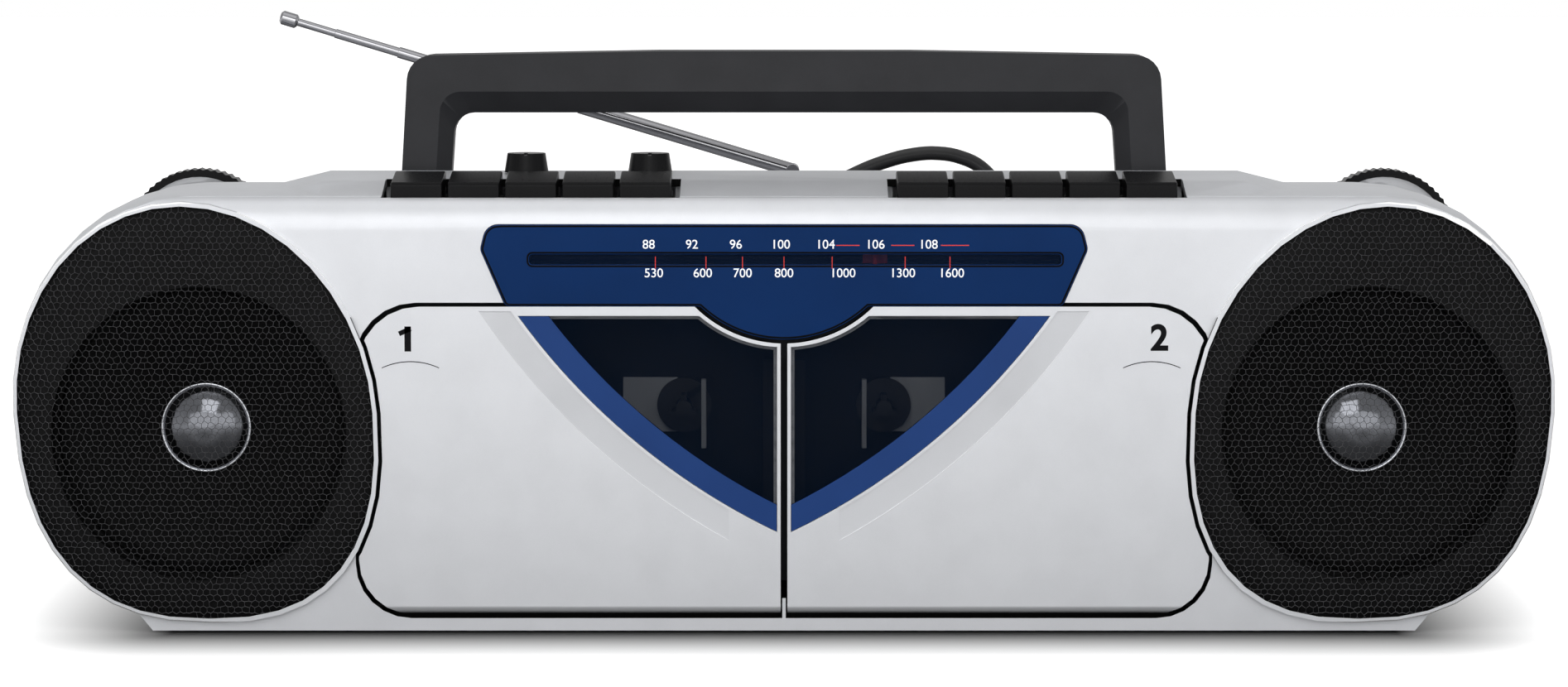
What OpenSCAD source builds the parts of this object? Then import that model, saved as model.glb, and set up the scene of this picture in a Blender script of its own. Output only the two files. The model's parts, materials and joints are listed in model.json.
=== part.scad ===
// Dual cassette boombox: a wide cabinet with rounded speaker ends, two bottom-hinged cassette doors,
// a slide-rule dial, piano keys on a raised deck, a folding handle and a telescopic antenna.
// Millimetres, +X right, +Y to the rear, +Z up. The origin is on the floor under the middle.

/* [Cabinet] */
// Overall width across both speaker ends
body_w = 504; // [480:1:540]
// Depth from the grille crown to the back face
body_d = 140; // [130:1:160]
// Width of one speaker grille
grille_w = 115.4; // [108:0.2:118]
// Height of one speaker grille
grille_h = 134.6; // [128:0.2:140]
// Width of the silver rim round a grille
rim_t = 1.4; // [1:0.1:2.5]
// Height of the front face's lower edge above the floor
base_gap = 3.5; // [3:0.1:5]
// How far the sides swell behind the front face
flare_side = 1.6; // [0:0.1:3]
// How far the top swells behind the front face
flare_top = 2.6; // [1.5:0.1:3.5]
// How far the underside swells behind the front face
flare_base = 1.5; // [0.5:0.1:2]
// Wall of the mouldings
wall = 2.5; // [2:0.1:3]

/* [Raised deck] */
// Half length of the raised key deck at its foot
deck_half = 174; // [168:0.5:178]
// Height of the roll from the front face into the top
roll_h = 10.8; // [8:0.1:14]
// Depth of the roll from the front face into the top
roll_d = 7; // [5:0.1:9]
// Height of the deck's top above the swollen body top
deck_rise = 4.5; // [3:0.1:6]
// Pitch of the piano keys
key_pitch = 18.6; // [17.8:0.1:19.2]
// Width of one piano key
key_w = 16.7; // [14:0.1:17.2]
// How far the raised end of a key stands above the deck's top
key_rise = 1.5; // [0.5:0.1:3]
// Distance of the middle key of each row from the centre line
key_mid = 82.4; // [80:0.2:86]

/* [Dial] */
// Width of the dial lens
lens_w = 196.8; // [180:0.2:200]
// Height of the straight part of the dial lens
lens_h = 26.6; // [24:0.1:28]
// Radius of the round bulge under the lens
bulge_r = 39.8; // [36:0.1:42]

/* [Cassette doors] */
// Height of one cassette door
door_h = 100.9; // [98:0.1:101]
// Thickness of a door
door_t = 5; // [4.4:0.1:6]
// Gap round the doors
door_gap = 1.2; // [0.9:0.1:1.6]
// Radius of the door hinge rod
rod_r = 0.9; // [0.7:0.05:1]

/* [Handle] */
// Width of the handle over its pivots
handle_w = 259.4; // [240:0.2:262]
// Height of the handle's top above the pivots
handle_h = 50; // [44:0.5:52]
// Height of the grip bar
handle_bar = 13.7; // [11:0.1:15]
// Depth of the grip bar
handle_d = 20; // [14:0.5:20]

/* [Wheels and knobs] */
// Radius of the volume and tuning wheels
wheel_r = 25.6; // [22:0.1:26]
// Width of the wheels' rims
wheel_t = 9; // [6:0.5:10]
// Height of the wheels' rims above the body top
wheel_rise = 2.6; // [1.5:0.1:4]
// Radius of the small knobs at their base
knob_r = 7.35; // [6:0.05:8]
// Height of the small knobs
knob_h = 6.4; // [5:0.1:9]

/* [Antenna] */
// Radius of the antenna's outer tube
mast_r = 2.5; // [2.4:0.05:3]
// Length of the outer tube from its pivot
mast_l = 78; // [70:1:90]
// Rest tilt of the antenna above level
mast_tilt = 16.7; // [10:0.1:30]

/* [Loudspeakers] */
// Radius of the opening in front of each cone
cone_r = 48; // [44:0.5:50]
// Radius of a dust cap
cap_r = 15; // [12:0.5:18]

/* [Mains lead] */
// Diameter of the lead
lead_d = 5; // [5:0.1:5.4]

/* [Hidden] */
$fn = 64;

// Clearances: between pieces that stay apart, in running bores, in pressed seats
gap = 0.4;
fit = 0.05;
seat_fit = 0.15;

// Overlap that fuses pieces, overrun of lofts, and overrun of cuts
lap = 0.1;
eps = 0.5;
cut = 1;

// Depths, measured from the middle of the body
crown_h = 1.5;
rim_proud = 2;
front_wall = 3;
front_d = 59;
front_y = -body_d / 2;
back_y = body_d / 2;
rim_y = front_y + crown_h;
face_y = rim_y + rim_proud;
face_in_y = face_y + front_wall;
part_y = front_y + front_d;

// Speaker end outline: a rounded end that leans outwards at the top
end_x = body_w / 2 - flare_side - rim_t - grille_w / 2;
end_z = base_gap + rim_t + grille_h / 2;
end_lean = 0.062;
end_up = 2;
end_low = 2.5;
end_steps = 20;
front_top = end_z + grille_h / 2 + rim_t;
body_top = front_top + flare_top;
deck_top = body_top + deck_rise;

// Point of the right end outline at angle t, grown by g = [sideways, up, down]
function end_point(t, g) =
  let (c = cos(t), s = sin(t), n = s < 0 ? end_low : end_up,
       b = grille_h / 2 + (s < 0 ? g[2] : g[1]),
       x = (grille_w / 2 + g[0]) * sign(c) * pow(abs(c), 2 / n),
       z = b * sign(s) * pow(abs(s), 2 / n))
  [end_x + x + end_lean * z, end_z + z];
function end_loop(g) = [for (i = [0 : 2 * end_steps - 1]) end_point(180 * i / end_steps, [g, g, g])];
function body_loop(g) =
  let (half = [for (i = [0 : end_steps]) end_point(-90 + 180 * i / end_steps, g)])
  concat(half, [for (i = [end_steps : -1 : 0]) [-half[i][0], half[i][1]]]);

// Ring of the cabinet at depth y: share of the swell, and inset
function ring(y, share, inset) =
  [for (p = body_loop([rim_t + flare_side * share - inset, rim_t + flare_top * share - inset,
                       rim_t + flare_base * share - inset])) [p[0], y, p[1]]];

// Rings of the mouldings: distance behind the rim or before the back face, share of the swell, inset
rim_round = 0.5;
swell_d = 25;
face_share = 0.25;
front_rings = [[0, 0, rim_round], [rim_round, 0, rim_round / 5], [1.5, 0, 0], [10, 0.6, 0], [swell_d, 1, 0]];
back_rings = [[60, 0.75, 0], [40, 0.35, 0], [12, 0, 0.8], [4, 0, 3.5], [0, 0, 8]];
back_round = 5.2;

// Solid between rings of equal count
module loft(rings) {
  n = len(rings[0]);
  m = len(rings);
  polyhedron(
    points = [for (r = rings) each r],
    faces = concat(
      [[for (i = [n - 1 : -1 : 0]) i]],
      [for (k = [0 : m - 2], i = [0 : n - 1]) [k * n + i, k * n + (i + 1) % n, (k + 1) * n + (i + 1) % n]],
      [for (k = [0 : m - 2], i = [0 : n - 1]) [k * n + i, (k + 1) * n + (i + 1) % n, (k + 1) * n + i]],
      [[for (i = [0 : n - 1]) (m - 1) * n + i]]));
}

// Profiles in the front view (x, z) run along Y; profiles in the side view (y, z) run along X
module slab(y0, y1) { rotate([90, 0, 0]) translate([0, 0, -y1]) linear_extrude(y1 - y0) children(); }
module run_x(x0, x1) { translate([x0, 0, 0]) rotate([90, 0, 90]) linear_extrude(x1 - x0) children(); }
module rod_x(x0, x1, y, z, r) { run_x(x0, x1) translate([y, z]) circle(r); }
module rod_y(y0, y1, x, z, r) { slab(y0, y1) translate([x, z]) circle(r); }
module rod_z(z0, z1, x, y, r) { translate([x, y, z0]) cylinder(h = z1 - z0, r = r); }
module box(x0, x1, y0, y1, z0, z1) { translate([x0, y0, z0]) cube([x1 - x0, y1 - y0, z1 - z0]); }
module pipe_y(y0, y1, x, z, r0, r1) {
  translate([x, y0, z]) rotate([-90, 0, 0]) cylinder(h = y1 - y0, r1 = r0, r2 = r1);
}
module both_sides() { children(); mirror([1, 0, 0]) children(); }

// Polygon with rounded corners: one radius for each corner
function unit(v) = v / norm(v);
function corner(p, a, b, r, n) =
  r <= 0 ? [p] :
  let (u = unit(a - p), v = unit(b - p), half = acos(u * v) / 2, c = p + unit(u + v) * r / sin(half),
       s = p + u * r / tan(half) - c, e = p + v * r / tan(half) - c,
       a0 = atan2(s[1], s[0]), d = atan2(e[1], e[0]) - a0, turn = d > 180 ? d - 360 : d < -180 ? d + 360 : d)
  [for (i = [0 : n]) c + r * [cos(a0 + turn * i / n), sin(a0 + turn * i / n)]];
function rounded(pts, rs, n = 6) =
  let (m = len(pts))
  [for (i = [0 : m - 1]) each corner(pts[i], pts[(i + m - 1) % m], pts[(i + 1) % m], rs[i], n)];
function plate(x0, x1, z0, z1, r) = rounded([[x0, z0], [x1, z0], [x1, z1], [x0, z1]], [r, r, r, r]);

// Raised deck: a sloping top that fades into the shoulders, inset by e for the hollow
deck_set = 3.8;
deck_slope_d = 19;
deck_step = 1.6;
deck_fade = 26;
deck_corner_x = 42;
deck_corner_y = 50;
deck_root_d = 14;
deck_steps = 12;
deck_y = face_y + deck_set;
deck_step_y = deck_y + deck_slope_d;
deck_step_z = deck_top - deck_step;
deck_root = body_top - deck_root_d;
function deck_ring(z, fade, e, rear_y) =
  let (rx = deck_corner_x - fade / 2, ry = deck_corner_y, c = deck_half - fade - rx,
       side = [for (i = [0 : deck_steps]) let (a = 90 * i / deck_steps)
               [c + (rx - e) * sin(a), deck_y + ry + (e - ry) * cos(a)]],
       right = concat(side, [[c + rx - e, rear_y]]), n = len(right) - 1)
  [for (p = concat(right, [for (i = [n : -1 : 0]) [-right[i][0], right[i][1]]])) [p[0], p[1], z - e]];
module deck_solid(e, rear_y) {
  intersection() {
    run_x(-deck_half, deck_half)
      polygon([[deck_y + e, deck_root], [rear_y, deck_root], [rear_y, deck_top - e],
               [deck_step_y, deck_step_z - e], [deck_y + e, front_top - e]]);
    loft([deck_ring(deck_top + cut, deck_fade, e, rear_y), deck_ring(body_top - cut, 0, e, rear_y),
          deck_ring(deck_root - wall, 0, e, rear_y)]);
  }
}

// Front face: flat between the ends, then rolled back into the top
roll_steps = 12;
roll_z = front_top + flare_top / 2 - roll_h;
roll_profile = concat([[front_y - cut, 0], [face_y, 0]],
  [for (i = [0 : roll_steps]) [face_y + roll_d * (1 - cos(90 * i / roll_steps)),
                               roll_z + roll_h * sin(90 * i / roll_steps)]],
  [[face_y + roll_d, deck_top], [front_y - cut, deck_top]]);

// Keys: five a side on an axle under the deck, in a well open to the top
key_count = 5;
key_set = 3;
key_d = 20;
key_arm = 10;
key_axle_drop = 10;
key_lip = 1.2;
key_edge = 0.8;
key_skirt_d = 6;
key_front_y = deck_y + key_set;
key_back_y = key_front_y + key_d;
key_axle_y = key_back_y + key_arm;
key_axle_z = deck_top - key_axle_drop;
key_axle_r = 1.5;
key_boss_r = 2.8;
key_low_z = key_axle_z;
key_lip_z = deck_top - key_lip;
key_top_z = deck_top + key_rise;
key_well_margin = 3;
well_in = key_mid - (key_count - 1) / 2 * key_pitch - key_w / 2 - key_well_margin;
well_out = key_mid + (key_count - 1) / 2 * key_pitch + key_w / 2 + key_well_margin;
well_gap = 1.5;
well_drop = 4.3;
rib_t = 2.5;
rib_half = 4;

// Small knobs on the deck, and the edge wheels on the shoulders
knob_set = 9;
knob_y = key_axle_y + knob_set;
function_x = -85.8;
band_x = -44.6;
shaft_r = 2;
tuning_x = end_x + 16;
volume_x = -end_x - 10.7;
wheel_z = body_top - wheel_r + wheel_rise;
wheel_y = back_y - 30;
wheel_slot = 1;
wheel_shaft_r = 3;
hump_drop = 2.6;
hump_d = 12;

// Dial lens outline, inset by e: a wide plate with a round bulge under it
lens_drop = 7.4;
lens_lean = 8.1;
lens_radii = [2, 2, 3, 5, 5, 3];
bulge_up = 29;
lens_top = front_top - lens_drop;
lens_bottom = lens_top - lens_h;
bulge_z = lens_bottom + bulge_up;
module lens_2d(e) {
  h = lens_w / 2 - e;
  polygon(rounded([[lens_lean - h, lens_bottom + e], [h - lens_lean, lens_bottom + e],
                   [h, lens_top - lens_lean], [h - lens_lean / 4, lens_top - e],
                   [lens_lean / 4 - h, lens_top - e], [-h, lens_top - lens_lean]],
                  lens_radii));
  intersection() {
    translate([0, bulge_z]) circle(bulge_r - e);
    translate([-bulge_r, bulge_z - bulge_r]) square([2 * bulge_r, bulge_r - lens_h / 2]);
  }
}
lens_t = 2;
lens_proud = 0.7;
lens_seat = 1.5;
plate_gap = 2.6;
plate_t = 1.2;
slot_up = 13.7;
slot_h = 3.2;
lens_y = face_y - lens_proud;
plate_y = lens_y + lens_t + plate_gap;
slot_z = lens_bottom + slot_up;
slot_left = -82.5;
slot_right = 89.8;
pointer_x = 29.6;

// Cassette doors: the left door, mirrored for the right one
door_in = 1.1;
door_reach = 4.8;
door_low = 6;
door_proud = 1;
door_radii = [18, 0.6, 0.6, 20];
door_out = end_x - grille_w / 2 + door_reach;
door_high = door_low + door_h;
hinge_y = face_y - door_proud + door_t / 2;
hinge_z = door_low + door_t / 2 + gap;
door_y = hinge_y - door_t / 2;
window_c = [93.7, 232.7];
window_r = 221.4;
door_ridge_r = 231;
module speaker_end_2d(g) { polygon(end_loop(g)); }

// Door outline, inset by e
module door_2d(e) {
  difference() {
    polygon(rounded([[-door_out + e, door_low + e], [-door_in - e, door_low + e],
                     [-door_in - e, door_high - e], [-door_out + e, door_high - e]], door_radii));
    mirror([1, 0]) speaker_end_2d(rim_t + door_gap + e);
    translate([0, bulge_z]) circle(bulge_r + door_gap + e);
  }
}

// Window outline, inset by e from the door's window opening
window_drop = 3;
window_side = 2.2;
window_rim = 1.2;
window_top = door_high - window_drop;
module window_2d(e) {
  difference() {
    intersection() {
      translate(window_c) circle(window_r - e, $fn = 192);
      translate([-door_out, door_low]) square([door_out - window_side - e, window_top - e - door_low]);
    }
    translate([0, bulge_z]) circle(bulge_r + door_gap + window_rim + e);
  }
}

// Cassette place: the holder takes a cassette of the usual size, hubs level with the windows' middle
tape_w = 100.4;
tape_t = 12;
tape_play = 0.8;
tape_set = 1.9;
hub_pitch = 42.5;
hub_z = 72.7;
hub_rise = 34.6;
holder_t = 1.5;
spindle_room = 3;
chassis_t = 1.5;
tape_x = -door_in - tape_set - tape_play - tape_w / 2;
tape_low = hub_z - hub_rise;
pocket_y = door_y + door_t + tape_play;
pocket_back = pocket_y + tape_t + tape_play;
chassis_y = pocket_back + holder_t + spindle_room;

// Handle pivots in the recess behind the deck
pivot_y = 3;
pivot_drop = 5.5;
pivot_r = 3;
recess_side = 1.3;
recess_front = 1;
recess_rear = 1.5;
recess_floor = 2;
pivot_z = body_top - pivot_drop;
recess_half = handle_w / 2 + recess_side;
recess_y0 = pivot_y - handle_d / 2 - recess_front;
recess_y1 = pivot_y + handle_h + recess_rear;
recess_z = pivot_z - handle_d / 2 - recess_floor;

// Battery bay and its door in the back
bay_x0 = -168;
bay_x1 = -38;
bay_z0 = 16;
bay_z1 = 74;
bay_d = 48;
hatch_t = 2.4;
hatch_set = 0.2;
hatch_up = 2;
hatch_pin_r = 0.8;
hatch_pin_l = 2.5;
bay_y0 = back_y - bay_d;
hatch_y = back_y - hatch_set - hatch_t / 2;
hatch_z = bay_z0 + hatch_up + hatch_t / 2;

// Screws join the two mouldings along pillars under the top and on the bottom wall
screw_r = 1.5;
screw_head_r = 3;
screw_head_h = 2;
pillar_r = 4;
pillar_sink = 0.5;
pillar_gap = 4;
pillar_down = 15;
pillar_set = 16.5;
pillar_low = base_gap + pillar_r - pillar_sink;
pillar_high = body_top - pillar_down;
pillar_x = recess_half + wall + pillar_set;
screw_sites = [[-pillar_x, pillar_low], [pillar_x, pillar_low], [0, pillar_low],
  [-pillar_x, pillar_high], [pillar_x, pillar_high]];
screw_seat = 15;
screw_l = 30;
screw_seat_y = part_y + screw_seat;

// Antenna base on the ridge behind the handle
mast_x = 3;
mast_set = 9;
mast_up = 0.6;
swivel_r = 6;
swivel_pin_r = 3;
turret_r = 8;
mast_y = back_y - mast_set;
mast_z = body_top + mast_up;

// Lead exit in the back wall
lead_x = 77;
lead_z = 115;
grommet_r = 6;

// Hidden outer skins of the two mouldings
module front_skin() { loft([for (r = front_rings) ring(rim_y + r[0], r[1], r[2]), ring(part_y, 1, 0)]); }
module back_skin() { loft([ring(part_y, 1, 0), for (r = back_rings) ring(back_y - r[0], r[1], r[2])]); }

// Plinth under the body, a little narrower than the ends, with recesses for the rubber feet
plinth_lean = 4.5;
plinth_low = 0.7;
plinth_sink = 2.7;
plinth_half = end_x + 14.7;
plinth_high = base_gap + plinth_sink;
plinth_back_y = back_y - 16;
foot_r = 7;
foot_x = 160;
foot_front_y = -34;
foot_back_y = 15;
foot_h = base_gap - flare_base;
module plinth(y0, y1) {
  difference() {
    slab(y0, y1)
      polygon([[-plinth_half, plinth_low], [plinth_half, plinth_low],
               [plinth_half + plinth_lean, plinth_high], [-plinth_half - plinth_lean, plinth_high]]);
    for (x = [-foot_x, foot_x], y = [foot_front_y, foot_back_y]) rod_z(0, foot_h, x, y, foot_r + gap);
  }
}

// Loudspeaker places, a little below the middle of each end
cone_in = 1.3;
cone_drop = 6.7;
grille_seat = 1.3;
rod_short = 2;
post_set = 7.6;
post_r = 4;
post_z = [19, 112];
cone_x = end_x - cone_in;
cone_z = end_z - cone_drop;
grille_seat_y = rim_y + grille_seat;
rod_half = door_out - rod_short;
post_x = door_out + post_set;

module front_cabinet() {
  color("silver") difference() {
    union() {
      difference() {
        union() {
          front_skin();
          deck_solid(0, part_y);
          plinth(face_y, part_y);
        }
        loft([ring(face_in_y, face_share, wall + cut), ring(rim_y + swell_d, 1, wall),
              ring(part_y + eps, 1, wall)]);
        deck_solid(wall, part_y + eps);
      }
      for (p = screw_sites)
        if (p[0] == 0) rod_y(chassis_y + chassis_t + pillar_gap, part_y, p[0], p[1], pillar_r);
        else rod_y(face_in_y - eps, part_y, p[0], p[1], pillar_r);
      both_sides() for (x = [well_in - eps, well_out - rib_t + eps])
        box(x, x + rib_t, key_axle_y - rib_half, key_axle_y + rib_half,
            key_axle_z - rib_half, deck_step_z - eps);
    }
    difference() {
      run_x(-body_w / 2, body_w / 2) polygon(roll_profile);
      both_sides() slab(front_y - 2 * cut, part_y) speaker_end_2d(rim_t);
      deck_solid(0, part_y);
    }
    both_sides() {
      slab(front_y - cut, grille_seat_y) speaker_end_2d(0);
      rod_y(front_y - cut, face_in_y + eps, cone_x, cone_z, cone_r);
    }
    slab(front_y - cut, lens_y + lens_t) lens_2d(-seat_fit);
    slab(front_y - cut, face_in_y + eps) lens_2d(lens_seat);
    difference() {
      both_sides() slab(front_y - cut, face_in_y + eps) door_2d(-door_gap);
      box(-door_in / 2, door_in / 2, face_y, face_in_y + cut, 0, hinge_z + door_t / 2);
    }
    both_sides() box(well_in, well_out, key_front_y - well_gap, key_back_y + well_gap,
                     key_low_z - well_drop, deck_top + cut);
    for (x = [function_x, band_x]) rod_z(deck_root, deck_top + cut, x, knob_y, shaft_r + gap);
    rod_x(-rod_half, rod_half, hinge_y, hinge_z, rod_r + fit);
    both_sides() rod_x(well_in - 2 * cut, well_out + 2 * cut, key_axle_y, key_axle_z, key_axle_r + fit);
    for (p = screw_sites) rod_y(screw_seat_y - screw_l - cut, part_y + cut, p[0], p[1], screw_r);
  }
}

// Hollow of the rear moulding, with the walls of the recess and the battery bay, the screw pillars,
// the wheel brackets, the antenna turret and the transformer pedestal left standing in it
bracket_half = 20;
bracket_drop = 16;
pedestal_edge = 4;
module back_hollow() {
  difference() {
    loft([ring(part_y - eps, 1, wall), ring(part_y + wall, 1, wall),
          for (k = [0 : 2]) ring(back_y - back_rings[k][0], back_rings[k][1], back_rings[k][2] + wall),
          ring(back_y - wall, 0, back_round + wall)]);
    box(-recess_half - wall, recess_half + wall, part_y - cut, recess_y1 + wall, recess_z - wall, deck_top);
    box(bay_x0 - wall, bay_x1 + wall, bay_y0 - wall, back_y, bay_z0 - wall, bay_z1 + wall);
    for (p = screw_sites) rod_y(part_y - cut, back_y, p[0], p[1], pillar_r + pillar_sink);
    for (x = [tuning_x, volume_x])
      box(x - bracket_half, x + bracket_half, pot_back_y, pot_back_y + wall,
          wheel_z - bracket_drop, body_top);
    rod_z(recess_z - wall, swivel_z, mast_x, mast_y, turret_r);
    box(trafo_x0 - pedestal_edge, trafo_x1 + pedestal_edge,
        trafo_y0 - pedestal_edge, trafo_y1 + pedestal_edge, 0, trafo_z);
  }
}

// Humps before and behind each wheel, which leave a narrow arc of its rim in view
slot_front_y = wheel_y - wheel_t / 2 - wheel_slot;
slot_back_y = wheel_y + wheel_t / 2 + wheel_slot;
module wheel_humps() {
  r = wheel_r - hump_drop;
  for (x = [tuning_x, volume_x]) {
    pipe_y(slot_front_y - hump_d, slot_front_y + eps, x, wheel_z, r - 2 * hump_drop, r);
    pipe_y(slot_back_y - eps, slot_back_y + hump_d, x, wheel_z, r, r - 2 * hump_drop);
  }
}
module rear_cabinet() {
  color("silver") difference() {
    union() {
      back_skin();
      plinth(part_y, plinth_back_y);
      rod_z(swivel_z - wall, swivel_z, mast_x, mast_y, turret_r);
      wheel_humps();
    }
    back_hollow();
    box(-recess_half, recess_half, recess_y0, recess_y1, recess_z, deck_top);
    box(bay_x0, bay_x1, bay_y0, back_y + cut, bay_z0, bay_z1);
    for (x = [tuning_x, volume_x]) {
      rod_y(slot_front_y, slot_back_y, x, wheel_z, wheel_r + wheel_slot);
      rod_y(pot_back_y - cut, pot_back_y + wall + cut, x, wheel_z, bush_r + gap);
    }
    both_sides() rod_x(recess_half - cut, recess_half + wall + cut, pivot_y, pivot_z, pivot_r + fit);
    rod_z(swivel_z - swivel_pin_l - gap, swivel_z + cut, mast_x, mast_y, swivel_pin_r + fit);
    rod_z(swivel_z, deck_top, mast_x, mast_y, swivel_r + gap);
    rod_y(back_y - 2 * wall, back_y + cut, lead_x, lead_z, grommet_r + fit);
    rod_x(bay_x0 - hatch_pin_l - gap, bay_x1 + hatch_pin_l + gap, hatch_y, hatch_z, hatch_pin_r + fit);
    for (p = screw_sites) {
      rod_y(part_y - cut, back_y + cut, p[0], p[1], screw_r + lap);
      rod_y(screw_seat_y, back_y + cut, p[0], p[1], screw_head_r + gap);
    }
  }
}

hatch_rib_in = 20;
hatch_rib_t = 1.6;
hatch_rib_h = 5;
hatch_rib_short = 8;
thumb_r = 7;
thumb_out = 5;
module battery_door() {
  color("silver") difference() {
    union() {
      box(bay_x0 + gap, bay_x1 - gap, hatch_y - hatch_t / 2, hatch_y + hatch_t / 2, hatch_z, bay_z1 - gap);
      rod_x(bay_x0 + gap, bay_x1 - gap, hatch_y, hatch_z, hatch_t / 2);
      rod_x(bay_x0 - hatch_pin_l, bay_x1 + hatch_pin_l, hatch_y, hatch_z, hatch_pin_r);
      for (x = [bay_x0 + hatch_rib_in, bay_x1 - hatch_rib_in])
        box(x - hatch_rib_t / 2, x + hatch_rib_t / 2, hatch_y - hatch_rib_h, hatch_y,
            hatch_z + hatch_rib_short, bay_z1 - hatch_rib_short);
    }
    translate([(bay_x0 + bay_x1) / 2, hatch_y + hatch_t / 2 + thumb_out, bay_z1 - thumb_r]) sphere(thumb_r);
  }
}

foot_edge = 0.8;
module rubber_feet() {
  color("dimgray") for (x = [-foot_x, foot_x], y = [foot_front_y, foot_back_y])
    translate([x, y, 0]) difference() {
      union() {
        cylinder(h = foot_h / 2, r1 = foot_r - foot_edge, r2 = foot_r);
        translate([0, 0, foot_h / 2]) cylinder(h = foot_h / 2, r = foot_r);
      }
      translate([0, 0, -eps]) cylinder(h = eps + foot_edge, r = foot_r / 2);
    }
}

cross_l = 3.4;
cross_w = 0.8;
module case_screws() {
  color("gray") for (p = screw_sites) difference() {
    union() {
      rod_y(screw_seat_y, screw_seat_y + screw_head_h, p[0], p[1], screw_head_r);
      rod_y(screw_seat_y - screw_l, screw_seat_y + eps, p[0], p[1], screw_r - fit);
    }
    for (a = [0, 90]) translate([p[0], screw_seat_y + screw_head_h, p[1]])
      rotate([0, a, 0]) cube([cross_l, screw_head_h, cross_w], center = true);
  }
}

// Grilles: a thin crowned sheet with a honeycomb of openings in front of the cone
grille_t = 1.2;
comb_pitch = 9.6;
comb_w = 8.2;
grille_lip = 2.1;
// Crown of the sheet: share of its height, and inset from the edge
crown = [[-0.45, 0], [0, 1.5], [0.6, 7], [0.93, 16], [1, 30]];
function grille_ring(y, g) = [for (p = end_loop(-gap / 2 - g)) [p[0], y, p[1]]];
module grille() {
  difference() {
    loft([for (k = [4 : -1 : 0]) grille_ring(rim_y - crown_h * crown[k][0], crown[k][1]),
          grille_ring(grille_seat_y, 0)]);
    loft([for (k = [4 : -1 : 1])
            grille_ring(rim_y - crown_h * crown[k][0] + grille_t, crown[k][1] + grille_t / 2),
          grille_ring(grille_seat_y + eps, grille_lip)]);
    rows = floor(cone_r / (comb_pitch * sin(60)));
    slab(front_y - cut, grille_seat_y + cut) for (j = [-rows : rows], i = [-rows : rows]) {
      p = [comb_pitch * (i + (abs(j) % 2) / 2), comb_pitch * sin(60) * j];
      if (norm(p) < cone_r - comb_w / 2)
        translate([cone_x, cone_z] + p) rotate(30) circle(d = comb_w, $fn = 6);
    }
  }
}
module grille_right() { color("black") grille(); }
module grille_left() { color("black") mirror([1, 0, 0]) grille(); }

// Loudspeakers: profiles are radius and depth behind the baffle
module revolve_y(x, y, z) { translate([x, y, z]) rotate([-90, 0, 0]) rotate_extrude($fn = 96) children(); }
flange_w = 6;
flange_t = 2;
flange_r = cone_r + flange_w;
surround_r = cone_r - 2;
surround_gap = 0.6;
basket_d = 22;
basket_t = 1;
frame_d = 34;
magnet_r = 31;
magnet_d = 20.5;
coil_r = 12.5;
coil_gap_r = 1.1;
coil_pit_d = 29;
vent_half = 11;
vent_d = 14;
module speaker_frame() {
  difference() {
    revolve_y(cone_x, face_in_y, cone_z)
      polygon([[surround_r + surround_gap, 0], [flange_r, 0], [flange_r, flange_t],
               [flange_r - flange_t, flange_t + basket_t], [magnet_r, basket_d], [magnet_r, frame_d],
               [0, frame_d], [0, magnet_d], [coil_r - coil_gap_r, magnet_d], [coil_r - coil_gap_r, coil_pit_d],
               [coil_r + coil_gap_r, coil_pit_d], [coil_r + coil_gap_r, magnet_d],
               [magnet_r - flange_t, magnet_d], [surround_r + surround_gap, flange_w - eps]]);
    for (a = [45 : 90 : 315]) translate([cone_x, face_in_y, cone_z]) rotate([0, a, 0])
      box(magnet_r + flange_t, flange_r, flange_w - cut, flange_w - cut + vent_d, -vent_half, vent_half);
  }
}
module speaker_frames() { color("dimgray") both_sides() speaker_frame(); }

// Cone: paper with a rolled surround, a domed cap and a voice coil in the magnet's gap
paper_t = 1.2;
cap_d = 9.5;
cap_h = 5.5;
cone_d = 17;
surround_w = 6;
surround_d = 1.4;
former_t = 1;
former_d = 26;
module speaker_cone() {
  edge = surround_d + paper_t;
  revolve_y(cone_x, face_in_y, cone_z)
    polygon([[0, cap_d], [cap_r * 0.4, cap_d + cap_h * 0.12], [cap_r * 0.73, cap_d + cap_h * 0.46],
             [cap_r, cap_d + cap_h], [surround_r - surround_w, edge],
             [surround_r - surround_w / 2, surround_d], [surround_r, edge - gap],
             [surround_r, edge - gap + paper_t], [surround_r - surround_w / 2, edge],
             [surround_r - surround_w, edge + paper_t], [cap_r + former_t / 2, cone_d],
             [coil_r + former_t / 2, cone_d + former_t / 2], [coil_r + former_t / 2, former_d],
             [coil_r - former_t / 2, former_d], [coil_r - former_t / 2, cone_d - former_t / 2],
             [cap_r * 0.73, cap_d + cap_h * 0.46 + paper_t], [cap_r * 0.4, cap_d + cap_h * 0.12 + paper_t],
             [0, cap_d + paper_t]]);
}
module speaker_cone_right() { color("darkgray") speaker_cone(); }
module speaker_cone_left() { color("darkgray") mirror([1, 0, 0]) speaker_cone(); }

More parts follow.
